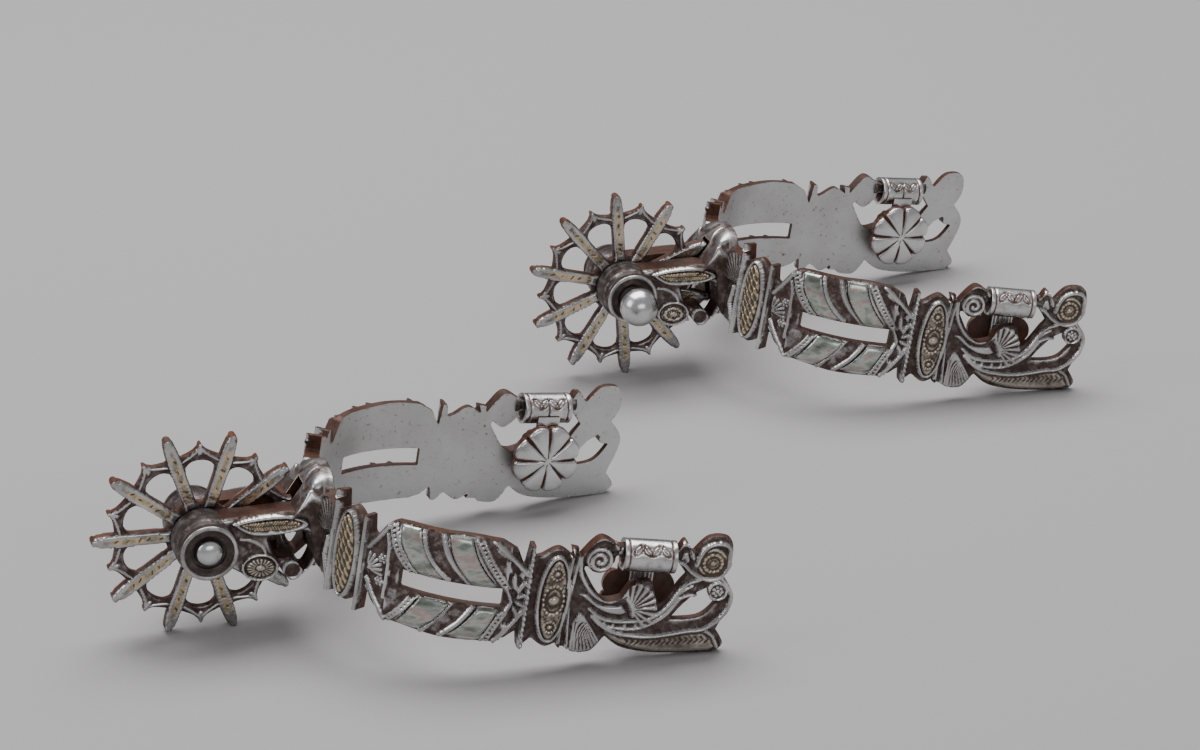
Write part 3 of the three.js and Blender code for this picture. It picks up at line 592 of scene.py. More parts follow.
def rusty(name, low=(0.020, 0.008, 0.005), high=(0.15, 0.055, 0.028)):
    m, t, bsdf, coord = nodes_of(name)
    mid = noise(t, coord, 380, 5, 0.7)
    wide = noise(t, coord, 70, 3, 0.5)
    base = ramp(t, mid, [(0.3, low), (0.55, tuple((a + b) / 2 for a, b in zip(low, high))), (0.78, high)])
    base = mix(t, grey(t, wide, [(0.45, 0.0), (0.75, 0.5)]), base, (0.10, 0.085, 0.08))
    t.links.new(base, bsdf.inputs["Base Color"])
    bsdf.inputs["Metallic"].default_value = 0.45
    t.links.new(grey(t, mid, [(0.3, 0.62), (0.7, 0.42)]), bsdf.inputs["Roughness"])
    bump(t, bsdf, mid, 0.4, 0.00015)
    return m


def inner_steel(name):
    m, t, bsdf, coord = nodes_of(name)
    brushed = noise(t, coord, 500, 4, 0.7, (1.0, 1.0, 7.0))
    wide = noise(t, coord, 45, 3, 0.6)
    spots = noise(t, coord, 700, 3, 0.6)
    base = mix(t, brushed, (0.50, 0.505, 0.505), (0.72, 0.725, 0.72))
    base = mix(t, grey(t, wide, [(0.45, 0.0), (0.75, 0.5)]), base, (0.36, 0.34, 0.33))
    freckle = math_node(t, "MULTIPLY", grey(t, spots, [(0.62, 0.0), (0.72, 0.9)]),
            grey(t, wide, [(0.35, 0.25), (0.6, 1.0)]))
    base = mix(t, freckle, base, (0.16, 0.085, 0.06))
    t.links.new(base, bsdf.inputs["Base Color"])
    bsdf.inputs["Metallic"].default_value = 0.9
    t.links.new(grey(t, brushed, [(0.2, 0.36), (0.8, 0.5)]), bsdf.inputs["Roughness"])
    bump(t, bsdf, brushed, 0.12, 0.00008)
    return m


def pearl(name):
    m, t, bsdf, coord = nodes_of(name)
    look = look_of(t)
    bands = noise(t, coord, 130, 3, 0.55, (1.0, 1.0, 2.2))
    fine = noise(t, coord, 900, 3, 0.5)
    sheen = ramp(t, bands, [(0.30, (0.16, 0.15, 0.13)), (0.40, (0.25, 0.28, 0.24)), (0.50, (0.46, 0.50,
            0.46)),
                            (0.58, (0.44, 0.33, 0.30)), (0.66, (0.28, 0.36, 0.34)), (0.78,
                                    (0.55, 0.55, 0.52))])
    edge = grey(t, look["Red"], [(0.0, 0.0), (0.18, 1.0)])
    base = mix(t, edge, (0.11, 0.085, 0.075), sheen)
    t.links.new(base, bsdf.inputs["Base Color"])
    bsdf.inputs["Metallic"].default_value = 0.75
    t.links.new(grey(t, fine, [(0.3, 0.16), (0.8, 0.3)]), bsdf.inputs["Roughness"])
    bsdf.inputs["Coat Weight"].default_value = 0.6
    bsdf.inputs["Coat Roughness"].default_value = 0.12
    bump(t, bsdf, fine, 0.08, 0.00008)
    return m


CHISELLED = chiselled("chiselled_steel", shift=0.045)
ROWEL = chiselled("rowel_steel", gain=1.0, shift=0.02)
WALL = rusty("brown_edge")
ROWEL_WALL = rusty("rust_edge", (0.04, 0.012, 0.006), (0.22, 0.07, 0.03))
INNER = inner_steel("brushed_inside")
GILT = chiselled("gold_inlay", gain=1.0, shift=0.05, gold_all=0.92)
PEARL = pearl("pearl_inlay")
PALE = chiselled("pale_inlay", gain=1.0, shift=0.02, gold_all=0.5)
BRIGHT = chiselled("polished_steel", gain=1.0, shift=0.28, dark=[(0.25, (0.05, 0.017, 0.009)), (0.5, (0.13,
        0.05, 0.03)), (0.72, (0.2, 0.11, 0.08))], steel=[(0.3, (0.50, 0.50, 0.50)), (0.55, (0.66, 0.665,
        0.67)), (0.8, (0.80, 0.80, 0.80))], rough=(0.45, 0.24))
IRON = chiselled("dark_iron", gain=0.8, shift=-0.02, dark=[(0.25, (0.020, 0.012, 0.010)), (0.5, (0.050,
        0.034, 0.030)), (0.75, (0.12, 0.09, 0.08))], rough=(0.42, 0.3))
MATS = [CHISELLED, WALL, INNER]


# ---- the band's ornament ----
TWIST = (0.85, 0.85, 0.5)  # half width, height over the rope and painted highlight of a twisted strand


def band_relief():
    r = Relief(plate_outline(), [BIG_OPENING, SMALL_OPENING, ROPE_SLOT], step=0.36, edge=0.5)
    u, z = r.u, r.z
    # flanges
    for at, low, high, top in ((COLLAR_FLANGE, -8.0, 23.1, 2.3), (WAIST_FLANGE, -8.7, 20.3, 2.3),
            (TERMINAL, -9.8, 21.4, 2.4)):
        r.ridge([(at, low), (at, high)], 0.75, top, -0.3, bright=0.15)
    r.beads([(TERMINAL + 0.1, -9), (TERMINAL + 0.1, 20.8)], 1.6, 0.6, 2.75)
    r.ridge(on_t([(12.2, -9.6), (12.0, 4), (12.8, 22.5)]), 0.55, 2.1, -0.2)
    r.ridge(on_t([(15.0, -10.2), (13.8, 5), (14.6, 21.5)]), 0.5, 1.6, -0.2)
    # oval bosses: a rim round a seat
    for at, up in ((COLLAR_OVAL, COLLAR_OVAL_UP), (STRAP_OVAL, STRAP_OVAL_UP)):
        r.area(ellipse(at, up, OVAL[0] + 0.1, OVAL[1] + 0.1), 1.5, 0.5, -0.2, bright=-0.1)
        r.ring(at, up, OVAL[0] + 0.15, OVAL[1] + 0.15, 1.1, 2.05, bright=0.35)
        seat = signed(u, z, ellipse(at, up, OVAL[0] - RIM, OVAL[1] - RIM))
        r.h = np.where(seat > 0, 0.8, r.h)
        # the seat is painted darker, as shade under the plaque
        r.bright = np.where(seat > 0, -0.5, r.bright)
    # scallop shell against the collar flange
    r.fan((COLLAR_FLANGE + 0.3, 9.0), math.radians(84), math.radians(182), 12.0, 2.4, 9, 0.05, rim=0.5)
    r.ridge([(COLLAR_FLANGE - 0.6, -5.5), (COLLAR_FLANGE - 4, 1), (COLLAR_FLANGE - 3, 7)], 0.8, 1.7)
    # lozenge panel left of the ropes
    r.area(on_r([(-8, 16), (-4.6, 23), (-0.9, 26.6)], 2) + on_r([(-0.4, 18), (-0.4, 2), (0.4, -5)],
            2) + on_r([(-3, 0), (-6.5, 6), (-8, 10)], 2), 0.9, 0.6, -0.2, bright=-0.08)
    r.ridge(on_r([(-7.8, 17.2), (-4.6, 21.4), (-1.4, 26.2)]), 0.75, 1.9)
    r.ridge(on_r([(-7.2, 7), (-4, 1.6), (-1.6, -1.6), (0.3, -4.9)]), 0.7, 1.8)
    r.ridge(on_r([(-1.6, 23), (-0.7, 18.5), (-0.4, 10), (-0.7, 2)]), 0.5, 1.6)
    r.fan((ROPE_START - 6.6, 5.4), math.radians(-18), math.radians(96), 5.0, 1.9, 6, 0.1, sink=0.6)
    for x, zz in ((-2.6, 7.2), (-2.2, 14.8)):
        cx, cz = ROPE_START + DRAWN * x, DRAWN * zz - 3.8
        for k in range(6):
            r.dot(cx + 1.05 * math.cos(k * math.pi / 3), cz + 1.05 * math.sin(k * math.pi / 3), 0.5, 1.6)
        r.dot(cx, cz, 0.45, 1.7)
    # ropes: rounded bodies
    for up, down in ((rope_top, slot_top), (slot_bottom, rope_bottom)):
        a = u - ROPE_START
        mid, half = (up(a) + down(a)) / 2, (up(a) - down(a)) / 2 + 0.2
        s = (z - mid) / half
        here = (a > -0.2) & (a < ROPE_LENGTH + 0.6) & (np.abs(s) < 1)
        r.lift(-0.6 + 2.0 * np.sqrt(np.maximum(1 - s * s, 0)), here, 0, -0.02)

    def rope_body(x, zz):
        a = x - ROPE_START
        up, down = (rope_top, slot_top) if zz > 5 else (slot_bottom, rope_bottom)
        mid, half = (up(a) + down(a)) / 2, (up(a) - down(a)) / 2 + 0.2
        return -0.6 + 2.0 * math.sqrt(max(1 - ((zz - mid) / half) ** 2, 0))

    # a strand's crest carries a painted highlight
    def strand(pts, half, proud, bright=0.4):
        line = on_r(pts, 4)
        for (x0, z0), (x1, z1) in zip(line[:-1], line[1:]):
            top = rope_body((x0 + x1) / 2, (z0 + z1) / 2) + proud
            r.ridge([(x0, z0), (x1, z1)], half, top, top - half * 1.6, bright=bright)

    strand([(9.6, 26.6), (11, 20.6), (13.5, 15.9), (16.6, 12.5), (19.0, 10.4)], *TWIST)
    strand([(15.6, 25.6), (17.6, 19.7), (20.4, 15.3), (23.5, 11.9), (25.6, 10.0)], *TWIST)
    strand([(21.4, 3.2), (18.5, 0), (16, -3.4), (12.6, -7.2)], *TWIST)
    strand([(27.6, 2.4), (25.4, -0.9), (22.9, -4.1), (18.6, -8.2)], *TWIST)
    for left in ([(0.6, 27), (2.9, 20.4), (5.8, 15.2), (8.8, 11.8)], [(9.6, 3.4), (6.9, -0.4), (1.9, -5)],
                 [(26.2, 24), (30, 17.2), (34, 11.4), (36.6, 8.2)], [(36.4, 0.7), (33.6, -3.4),
                         (31.2, -9)]):
        strand(left, 0.4, 0.65)
        strand([(x + (1.9 if left[0][0] > 25 else -1.9) * (1 if left[0][1] > 5 else 1), zz) for x,
                zz in left], 0.4, 0.55)
        line = on_r([(x + (0.95 if left[0][0] > 25 else -0.95), zz) for x, zz in left], 4)
        run = np.concatenate([[0], np.cumsum(np.hypot(*np.diff(np.array(line), axis=0).T))])
        for at in np.arange(0.6, run[-1], 1.35):
            x, zz = np.interp(at, run, [p[0] for p in line]), np.interp(at, run, [p[1] for p in line])
            r.dot(x, zz, 0.5, rope_body(x, zz) + 0.55)
    # seats of the pearl strips, lowered, with painted shade in them
    for pts in strip_outlines(0.0):
        sd = signed(u, z, pts)
        r.h = np.where(sd > 0, np.minimum(r.h, 0.1), r.h)
        r.bright = np.where(sd > 0, -0.6, r.bright)
    # foliage right of the ropes
    r.ridge(on_r([(31.5, 24), (36, 20), (41, 15.5), (44, 12.5)]), 0.7, 1.9)
    r.ridge(on_r([(35, -9), (39, -4.5), (43, 2), (44, 6)]), 0.7, 1.8)
    r.ridge(on_r([(36.6, 9.0), (38.4, 5.6), (38.8, 3.4), (36.6, -1.0)]), 0.55, 1.5)
    for (x, zz, ang, length) in ((40, 8, 100, 5.5), (40.4, 7, 60, 5), (40.4, 5.6, 25, 4.2),
            (40.2, 4.2, -25, 4.4), (39.6, 2.6, -65, 5), (38, 14, 120, 5), (35.8, 19, 140, 4.6),
            (38, -3, -110, 4.5), (41.4, 12, 80, 3.6)):
        d = math.radians(ang)
        p = [(x + length * t * math.cos(d) - 0.35 * math.sin(math.pi * t) * math.sin(d),
                zz + length * t * math.sin(d)) for t in (0, 0.35, 0.7, 1)]
        r.ridge(drawn(p, ROPE_START), 0.75, 1.5, bright=0.15, taper=1.2)
    for k in range(5):
        r.dot(ROPE_START + DRAWN * (39.4 + 0.85 * k), DRAWN * (16.8 - 1.55 * k), 0.42, 1.3)
        r.dot(ROPE_START + DRAWN * (38.9 + 0.9 * k), DRAWN * (-5.2 + 2.0 * k), 0.42, 1.3)
    # waist: two thin ridges across the hollow faces between the flange and the lozenge
    for pts in ([(-7.6, 19.4), (-2.6, 24.9)], [(-7.4, 4.2), (-3.2, -1.5)]):
        r.ridge(drawn(pts, ROPE_START), 0.35, 1.1)
    # fluted fan below the second flange
    fan = on_t([(15.6, -2), (17.2, 1.8), (19, 1.2)], 3) + on_t([(22.6, -3.4), (25.2, -7.2)],
            2) + on_t([(22.6, -10.8), (18.6, -11.8), (15.8, -11.2)], 4)
    sd = r.area(fan, 1.4, 0.4, -0.2)
    apex = (TERMINAL + DRAWN * 16.4, DRAWN * 4.5)
    ang = np.arctan2(u - apex[0], apex[1] - z)
    wave = np.abs(np.sin(math.pi * (ang + 0.06) / 0.078))
    flutes = (sd > 0) & (z < apex[1] - 5)
    r.h = np.where(flutes, r.h - 0.45 * (1 - wave), r.h)
    # painted highlight on the flute crests, painted shade in the flutes
    r.bright = np.where(flutes, 0.35 * wave - 0.2, r.bright)
    # top scroll and its volute
    r.ridge(on_t([(13.9, 12), (14.6, 19), (17.2, 24.5), (21, 27.2), (24.6, 26.2), (26.4, 24.2)]), 0.7, 1.5)
    r.area(ellipse(TERMINAL + DRAWN * 21.3, DRAWN * 19.8, 4.0, 4.0, 40), 1.0, 0.5, -0.3, bright=0.0)
    r.spiral(TERMINAL + DRAWN * 21.3, DRAWN * 19.8, 3.5, 1.6, 0.5, 1.6, start=math.radians(60), hand=-1)
    r.ridge([(TERMINAL + 23.0, BAR_UP), (TERMINAL + 25.4, BAR_UP)], 1.6, 0.6, -0.6)
    # crescent
    r.ridge(on_t([(15.2, 21), (16.1, 15), (19.0, 10.2), (22.4, 7.3), (26, 6.3), (29.4, 7.6), (31.4, 9.6)]),
            0.62, 1.7)
    r.area(on_t([(16.4, 8), (19.2, 8.2), (22.8, 5.2), (27, 4.6), (30.6, 5.0)],
            4) + on_t([(32.6, 2.6), (29.6, 1.6), (25, 2.4), (20.6, 4.8)], 4), 1.0, 0.7, -0.1, bright=0.16)
    # scallop shell
    r.fan((TERMINAL + DRAWN * 32.9, DRAWN * 4.6), math.radians(-58), math.radians(116), DRAWN * 8.9, 1.9,
            10, 0.1, sink=0.75)
    r.ridge(on_t([(31.8, 7.4), (33.4, 5.0), (34.2, 2.2)]), 0.7, 1.9)
    # beaded stem
    upper = [(20.4, 3.2), (23, 1.2), (26.4, -0.1), (31, -0.3), (36, 0.2), (40, 1.5), (43, 3.7), (45.6, 7),
            (47.6, 11), (50, 13.8), (53.5, 15.3)]
    lower = [(22.2, 1.2), (25.4, -1.8), (30, -2.7), (35, -2.6), (38.8, -1.4), (42, 0.5), (45, 3.2),
            (46.8, 6.1), (48.4, 8.6), (51, 9.9), (53, 10.0)]
    r.area(drawn(upper + lower[::-1], TERMINAL), 0.5, 0.5, -0.2, bright=-0.15)
    r.ridge(on_t(upper), 0.55, 1.6)
    r.ridge(on_t(lower), 0.5, 1.4)
    r.ridge(on_t([(40, 0.3), (43.6, 2.6), (46.2, 6.4), (48.4, 10.6), (51.6, 13)]), 0.4, 1.2)
    for x, zz in ((25.6, -0.9), (28.6, -1.4), (32.3, -1.5), (35.6, -1.2), (38.6, -0.2)):
        r.ridge(drawn([(x, zz - 1.2), (x, zz + 1.2)], TERMINAL), 0.42, 1.3)
    # blade
    blade = on_t([(23, -1.2), (27, -3.6), (32, -4.9), (40, -5.4), (50, -3.3), (57.2, -2.2)],
            4) + on_t([(60.4, -3.8), (62.4, -7.4)], 2) + on_t([(60, -8.8), (50, -9.9), (40, -10), (31, -8),
            (26.4, -5)], 4)
    r.area(blade, 0.9, 1.1, -0.5, gold=0.4, bright=0.04)
    r.ridge(on_t([(21.6, 0.8), (24, -1.6), (28.4, -3.9), (33, -4.8), (40, -5.0), (47, -3.7), (52, -2.4),
            (57, -1.4), (60.7, 1.4), (63.2, 4.5), (64.4, 8), (64.2, 11), (62.8, 14), (60.4, 16.2)]), 0.6,
            1.6)
    r.ridge(on_t([(57.8, -2.0), (60.6, -3.8), (62.6, -7.4)]), 0.45, 1.4)
    for k in range(16):
        x = 33 + 1.7 * k
        zz = -7.2 + 0.09 * (x - 33)
        r.groove(drawn([(x, zz - 1.0), (x + 1.0, zz + 0.2), (x, zz + 1.2)], TERMINAL), 0.22, 0.22)
    # rosette scroll at lower right
    cx, cz = TERMINAL + DRAWN * 59.8, DRAWN * 11.8
    r.area(ellipse(cx, cz, 2.9, 2.9, 36), 1.0, 0.5, -0.3)
    r.ring(cx, cz, 3.0, 3.0, 0.8, 1.5)
    for k in range(7):
        r.dot(cx + 1.25 * math.cos(k * 2 * math.pi / 7), cz + 1.25 * math.sin(k * 2 * math.pi / 7), 0.5,
                1.4)
    r.dot(cx, cz, 0.6, 1.5)
    # small leaf and finial
    r.ridge(on_t([(44.8, 24.4), (46.8, 26.8), (49.2, 25.8), (50.4, 22.4)]), 0.6, 1.5)
    r.area(on_t([(46, 18.6), (46.6, 23), (48.6, 24.2), (49.8, 21)], 3), 0.8, 0.6, -0.1, bright=0.1)
    r.ridge(on_t([(45.2, 20.8), (47.6, 20.2), (50.6, 17.6), (54, 15.9), (57.4, 15.6), (60.6, 17.2),
            (62.2, 21), (61.6, 26.2), (58.4, 27.8), (54.6, 26.6), (52.6, 23.6), (51.8, 20)]), 0.6, 1.6)
    cx, cz = TERMINAL + DRAWN * 57.0, DRAWN * 21.0
    r.area(ellipse(cx, cz, 4.4, 4.6, 40), 0.8, 0.5, -0.2, gold=0.55)
    for radius in (3.4, 1.9):
        pts = ellipse(cx, cz, radius, radius, 32)
        r.groove(pts + pts[:1], 0.3, 0.25)
    for k in range(14):
        r.dot(cx + 2.65 * math.cos(k * math.pi / 7), cz + 2.65 * math.sin(k * math.pi / 7), 0.4, 1.05,
                gold=0.8)
    r.dot(cx, cz, 0.8, 1.2, gold=0.8)
    return r.finish()


def strip_outlines(inset):
    made = []
    for top, bottom, up, down in (((1.9, 8.0), (8.6, 16.0), rope_top, slot_top),
            ((16.0, 22.4), (23.4, 31.0), rope_top, slot_top),
                                  ((10.0, 18.8), (3.8, 11.2), slot_bottom, rope_bottom), ((26.4, 32.0),
                                          (18.6, 27.0), slot_bottom, rope_bottom)):
        def side(a, b, bow):
            p, q = (a, up(a) - 0.5 - inset), (b, down(b) + 0.5 + inset)
            m1 = (a + 0.30 * (b - a) - bow, p[1] + 0.36 * (q[1] - p[1]))
            m2 = (a + 0.62 * (b - a) - bow * 0.6, p[1] + 0.70 * (q[1] - p[1]))
            return through([p, m1, m2, q], 6)
        left = side(top[0] + inset, bottom[0] + inset, 0.8 if bottom[0] > top[0] else 0)
        right = side(top[1] - inset, bottom[1] - inset, 0.8 if bottom[0] > top[0] else 0)
        made.append(rope(left + right[::-1]))
    return made


def strip_reliefs():
    made = []
    for k, pts in enumerate(strip_outlines(0.02)):
        r = Relief(pts, step=0.4, edge=0.5, base=0.1)
        a = r.u - ROPE_START
        up, down = (rope_top, slot_top) if k < 2 else (slot_bottom, rope_bottom)
        mid, half = (up(a) + down(a)) / 2, (up(a) - down(a)) / 2 + 0.2
        s = np.clip((r.z - mid) / half, -1, 1)
        r.h = -0.35 + 2.35 * np.sqrt(1 - s * s) - 0.6 * r.rounding(0.7)
        r.finish()
        r.wear_and_painted_light = np.clip(0.1 + r.sd / 0.35, 0, 1)
        made.append(r)
    return made


def oval_relief(at, up, kind):
    a, b = OVAL[0] - RIM - 0.15, OVAL[1] - RIM - 0.15
    r = Relief(ellipse(at, up, a, b), step=0.3, edge=0.6, base=1.75)
    x, z = r.u - at, r.z - up
    r.h += 0.5 * (1 - (x / a) ** 2)
    r.gold[:] = 1.0
    if kind == "basket":
        p = (x * 0.75 + z * 0.55) * 2 * math.pi / 1.5
        q = (x * 1.1 - z * 0.30) * 2 * math.pi / 2.6
        r.h += 0.17 * np.sin(p) + 0.13 * np.sin(q)
        r.h -= 0.2 * (np.abs(np.sin(q / 2)) < 0.16)
    else:
        for cz in (8.2, -8.2):
            for k in range(12):
                r.dot(at + 1.7 * math.cos(k * math.pi / 6), up + cz + 1.7 * math.sin(k * math.pi / 6), 0.38,
                        2.55, gold=1.0)
            r.dot(at, up + cz, 0.7, 2.7, gold=1.0)
            for k in range(8):
                c, s = math.cos(k * math.pi / 4), math.sin(k * math.pi / 4)
                r.groove([(at + 0.8 * c, up + cz + 0.8 * s), (at + 1.5 * c, up + cz + 1.5 * s)], 0.16, 0.2)
        pts = ellipse(at, up, 2.3, 3.6, 40)
        r.groove(pts + pts[:1], 0.28, 0.3)
        r.dot(at, up, 1.7, 3.1, gold=1.0)
        for k in range(18):
            t = k * math.pi / 9
            r.dot(at + 2.9 * math.cos(t), up + 4.5 * math.sin(t), 0.36, 2.5, gold=1.0)
        rng = np.random.default_rng(4)
        for _ in range(60):
            dx, dz = rng.uniform(-a, a), rng.uniform(-b, b)
            r.groove([(at + dx, up + dz), (at + dx + rng.uniform(-0.6, 0.6), up + dz + rng.uniform(-0.6,
                    0.6))], 0.18, 0.16)
    return r.finish()


# ---- neck ----
def arm_outline():
    return (through([(0, 8.0), (11, 9.6), (22, 11.5)]) + [(BACK_X + 1, 11), (BACK_X + 1, -3)]
            + through([(32.6, -4), (26.4, -9.6), (21.4, -5.4)]) + through([(20.6, -8), (16, -10),
                    (6, -5.7)]))


def leaf_outline(inset):
    return through([(6.8 + 2 * inset, 7.3), (13, 9.2 - inset), (22, 10.2 - inset), (28.2 - 2 * inset, 8.1),
                    (22, 5.4 + inset), (13, 4.6 + inset), (6.8 + 2 * inset, 7.3)])[:-1]


SCROLL_OPENING = through([(17.5, 3.2), (26.5, 5.7), (31, 0.5), (29.2, -6.4), (25.6, -3), (20.6, -3),
        (17.5, 3.2)])[:-1]
ROSETTE_AT = (16.0, -5.7)


def cheek_relief():
    o = CHEEK_OUTER
    r = Relief(arm_outline(), [SCROLL_OPENING], step=0.33, edge=1.2, base=o)
    r.area(leaf_outline(-0.2), o + 0.7, 0.5, o - 0.5, bright=0.1)
    top = [p for p in leaf_outline(0.1)]
    n = len(top)
    # the upper rim of the leaf seat carries a stronger painted highlight than the lower rim
    r.ridge(top[: n // 2 + 1], 0.55, o + 1.15, o, bright=0.45)
    r.ridge(top[n // 2:] + top[:1], 0.4, o + 0.95, o, bright=0.2)
    seat = signed(r.u, r.z, leaf_outline(0.75))
    r.h = np.where(seat > 0, o - 0.1, r.h)
    # band that curls down into the scroll
    r.ridge(on_n([(29.5, 7.6), (33.4, 6.4), (35.6, 2.4), (36.4, -2), (35.4, -6.0), (33.2, -9.2),
            (29.6, -11.4), (27, -12)]), 0.7, o + 0.6, o - 0.4, bright=0.35)
    # the eye of the scroll is painted darker as shade, its ring carries a painted highlight
    r.area(ellipse(27.9 * DRAWN, -6.9 * DRAWN, 3.1, 3.1, 36), o + 0.4, 0.5, o - 0.5, bright=-0.25)
    r.ring(27.9 * DRAWN, -6.9 * DRAWN, 3.1, 3.1, 1.0, o + 0.9, bright=0.45)
    # rosette seat
    x, z = ROSETTE_AT
    r.area(ellipse(x, z, 5.4, 4.2), o + 0.5, 0.5, o - 0.4)
    r.ring(x, z, 5.4, 4.2, 0.7, o + 0.85, bright=0.3)
    seat = signed(r.u, r.z, ellipse(x, z, 4.6, 3.4))
    r.h = np.where(seat > 0, o - 0.1, r.h)
    r.ridge(on_n([(10.5, 3), (14, 2.6), (17.6, 0.6), (19, -2)]), 0.6, o + 0.3, o - 0.6)
    r.ridge(on_n([(21.6, -7.4), (23.6, -10.6), (26.6, -12)]), 0.45, o + 0.2, o - 0.6, bright=0.2)
    return r.finish()


def leaf_inlay():
    o = CHEEK_OUTER
    r = Relief(leaf_outline(0.95), step=0.25, edge=0.4, base=o + 0.75)
    r.gold[:] = 1.0
    rim = leaf_outline(1.25)
    for x, z in rim[::2]:
        r.dot(x, z, 0.3, o + 1.0, gold=0.6)
    mid = [(9.8, 7.2), (14, 7.0), (19, 7.6), (25, 7.9)]
    r.groove(through(mid), 0.16, 0.2, bright=-0.15)
    for k in range(20):
        x = 10.6 + 0.75 * k
        z = np.interp(x, [p[0] for p in mid], [p[1] for p in mid])
        r.groove([(x, z), (x + 0.9, z + 1.4)], 0.13, 0.16, bright=-0.12)
        r.groove([(x, z), (x + 0.9, z - 1.4)], 0.13, 0.16, bright=-0.12)
    return r.finish()


def rosette_inlay(kind):
    o = CHEEK_OUTER
    x, z = ROSETTE_AT
    r = Relief(ellipse(x, z, 4.35, 3.15), step=0.25, edge=0.5, base=o + 0.7)
    r.gold[:] = 0.8
    s = np.hypot((r.u - x) / 4.35, (r.z - z) / 3.15)
    ang = np.arctan2((r.z - z) / 3.15, (r.u - x) / 4.35)
    r.h += 0.35 * (1 - s * s)
    if kind == "front":
        wave = np.abs(np.sin(ang * 9))
        r.h -= 0.32 * (1 - wave) * (s > 0.38) * (s < 0.88)
    else:
        for ring, n in ((0.42, 4), (0.78, 6)):
            wave = np.abs(np.sin(ang * n / 1.0 + ring))
            r.h -= 0.3 * (np.abs(s - ring - 0.08 * wave) < 0.07)
        r.h -= 0.2 * (np.abs(np.sin(ang * 6)) < 0.16) * (s > 0.45)
    for ring in (0.33, 0.92):
        r.h -= 0.2 * (np.abs(s - ring) < 0.05)
    r.dot(x, z, 0.55, o + 1.3, gold=0.9)
    return r.finish()


# ---- rowel ----
def rowel_relief():
    n, half = 10, math.pi / 10
    eye, w = 9.6, 1.95

    def turn(p, a):
        return (p[0] * math.cos(a) - p[1] * math.sin(a), p[0] * math.sin(a) + p[1] * math.cos(a))

    def reach(x):
        return x * math.tan(half) - w / math.cos(half)
    tip = [(24.4, -w), (26, -2.0), (29.6, -1.6), (30.7, -1.1), (31.2, -0.4), (31.2, 0.4), (30.7, 1.1),
            (29.6, 1.6), (26, 2.0), (24.4, w)]
    arch = [(24.9, 3.3), (25.7, 1.9), (26.9, 0.75), (27.9, 0.25), (27.9, -0.25), (26.9, -0.75),
            (25.7, -1.9), (24.9, -3.3)]
    opening = ([(eye + 0.4, reach(eye + 0.4)), (14, reach(14)), (18.6, reach(18.6))]
               + through([(20.6, reach(18.6) + 0.2), (22.2, 2.7), (22.8, 0), (22.2, -2.7),
                       (20.6, -reach(18.6) - 0.2)], 5)
               + [(18.6, -reach(18.6)), (14, -reach(14)), (eye + 0.4, -reach(eye + 0.4))])
    outline, holes = [], [ellipse(0, 0, 2.3, 2.3, 40)]
    for i in range(n):
        outline += [turn(p, 2 * i * half) for p in tip]
        outline += [turn((x, -t), (2 * i + 1) * half) for x, t in arch]
        holes.append([turn(p, (2 * i + 1) * half) for p in opening])
    r = Relief(outline, holes, step=0.33, edge=0.4, base=1.15)
    r.bright -= 0.05
    rng = np.random.default_rng(11)
    for i in range(n):
        a = 2 * i * half
        r.area([turn(p, a) for p in [(8, -1.75), (25.6, -1.8), (29.6, -1.35), (31.0, -0.5), (31.0, 0.5),
                (29.6, 1.35), (25.6, 1.8), (8, 1.75)]], 2.1, 0.9, 0.9, bright=0.08)
        strip = signed(r.u, r.z, [turn(p, a) for p in [(10.6, -0.95), (25.0 + rng.uniform(-1.5, 1.5), -1.1),
                (27, 0), (25.0 + rng.uniform(-1.5, 1.5), 1.1), (10.6, 0.95)]])
        inside = strip > 0
        r.gold = np.where(inside, np.clip(0.35 + strip * 1.6, 0, 1), r.gold)
        r.bright = np.where(inside, r.bright + 0.22, r.bright)
        r.h = np.where(inside, r.h - 0.1, r.h)
        for k in range(5):
            x = 11.5 + 3.1 * k + rng.uniform(-0.6, 0.6)
            r.groove([turn((x, rng.uniform(-0.6, 0.0)), a), turn((x + rng.uniform(0.2, 0.9), rng.uniform(0,
                    0.7)), a)], 0.2, 0.16)
        # the ridges along the points and over the arches carry painted highlights
        for side in (-1, 1):
            r.ridge([turn(p, a) for p in [(12, side * 1.45), (25, side * 1.6), (29, side * 1.2)]], 0.33,
                    2.15, 1.5, bright=0.22)
        r.ridge([turn((28.4, 0), a), turn((30.6, 0), a)], 1.2, 2.15, 1.3, bright=0.5)
        b = (2 * i + 1) * half
        line = [turn(p, b) for p in [(22.6, 5.0), (23.9, 3.0), (25.2, 1.3), (27.3, 0), (25.2, -1.3),
                (23.9, -3.0), (22.6, -5.0)]]
        r.ridge(line, 0.42, 1.55, 0.9, bright=0.4)
        r.ridge([turn((25.0, 0), b), turn((27.4, 0), b)], 0.7, 1.6, 0.9, bright=0.45)
    return r.finish(flat=0.2)


# ---- turned pieces ----
def lathe(name, profile, place, mats, steps=64, wear_and_painted_light=None):
    """profile is [(radius, distance)], turned about the axis; place(a, b, d) with a, b across it."""
    p = np.array(profile, float)
    ang = np.linspace(0, 2 * math.pi, steps, endpoint=False)
    ca, sa = np.cos(ang), np.sin(ang)
    rr, dd = p[:, 0][:, None], p[:, 1][:, None]
    pts = place((rr * ca).ravel(), (rr * sa).ravel(), (dd + 0 * ca).ravel())
    k = len(p)
    faces = [[i * steps + j, i * steps + (j + 1) % steps, (i + 1) * steps + (j + 1) % steps,
            (i + 1) * steps + j] for i in range(k - 1) for j in range(steps)]
    w = np.full(k, 0.4) if wear_and_painted_light is None else np.array(wear_and_painted_light, float)
    look = np.stack([np.repeat(w, steps), np.zeros(k * steps), np.zeros(k * steps), np.ones(k * steps)], -1)
    return mesh_object(name, pts, faces, look, mats)


# ---- building one spur ----
def weld(ob, dist=1e-7):
    import bmesh
    bm = bmesh.new()
    bm.from_mesh(ob.data)
    bmesh.ops.remove_doubles(bm, verts=bm.verts, dist=dist)
    bmesh.ops.recalc_face_normals(bm, faces=bm.faces)
    bm.to_mesh(ob.data)
    bm.free()


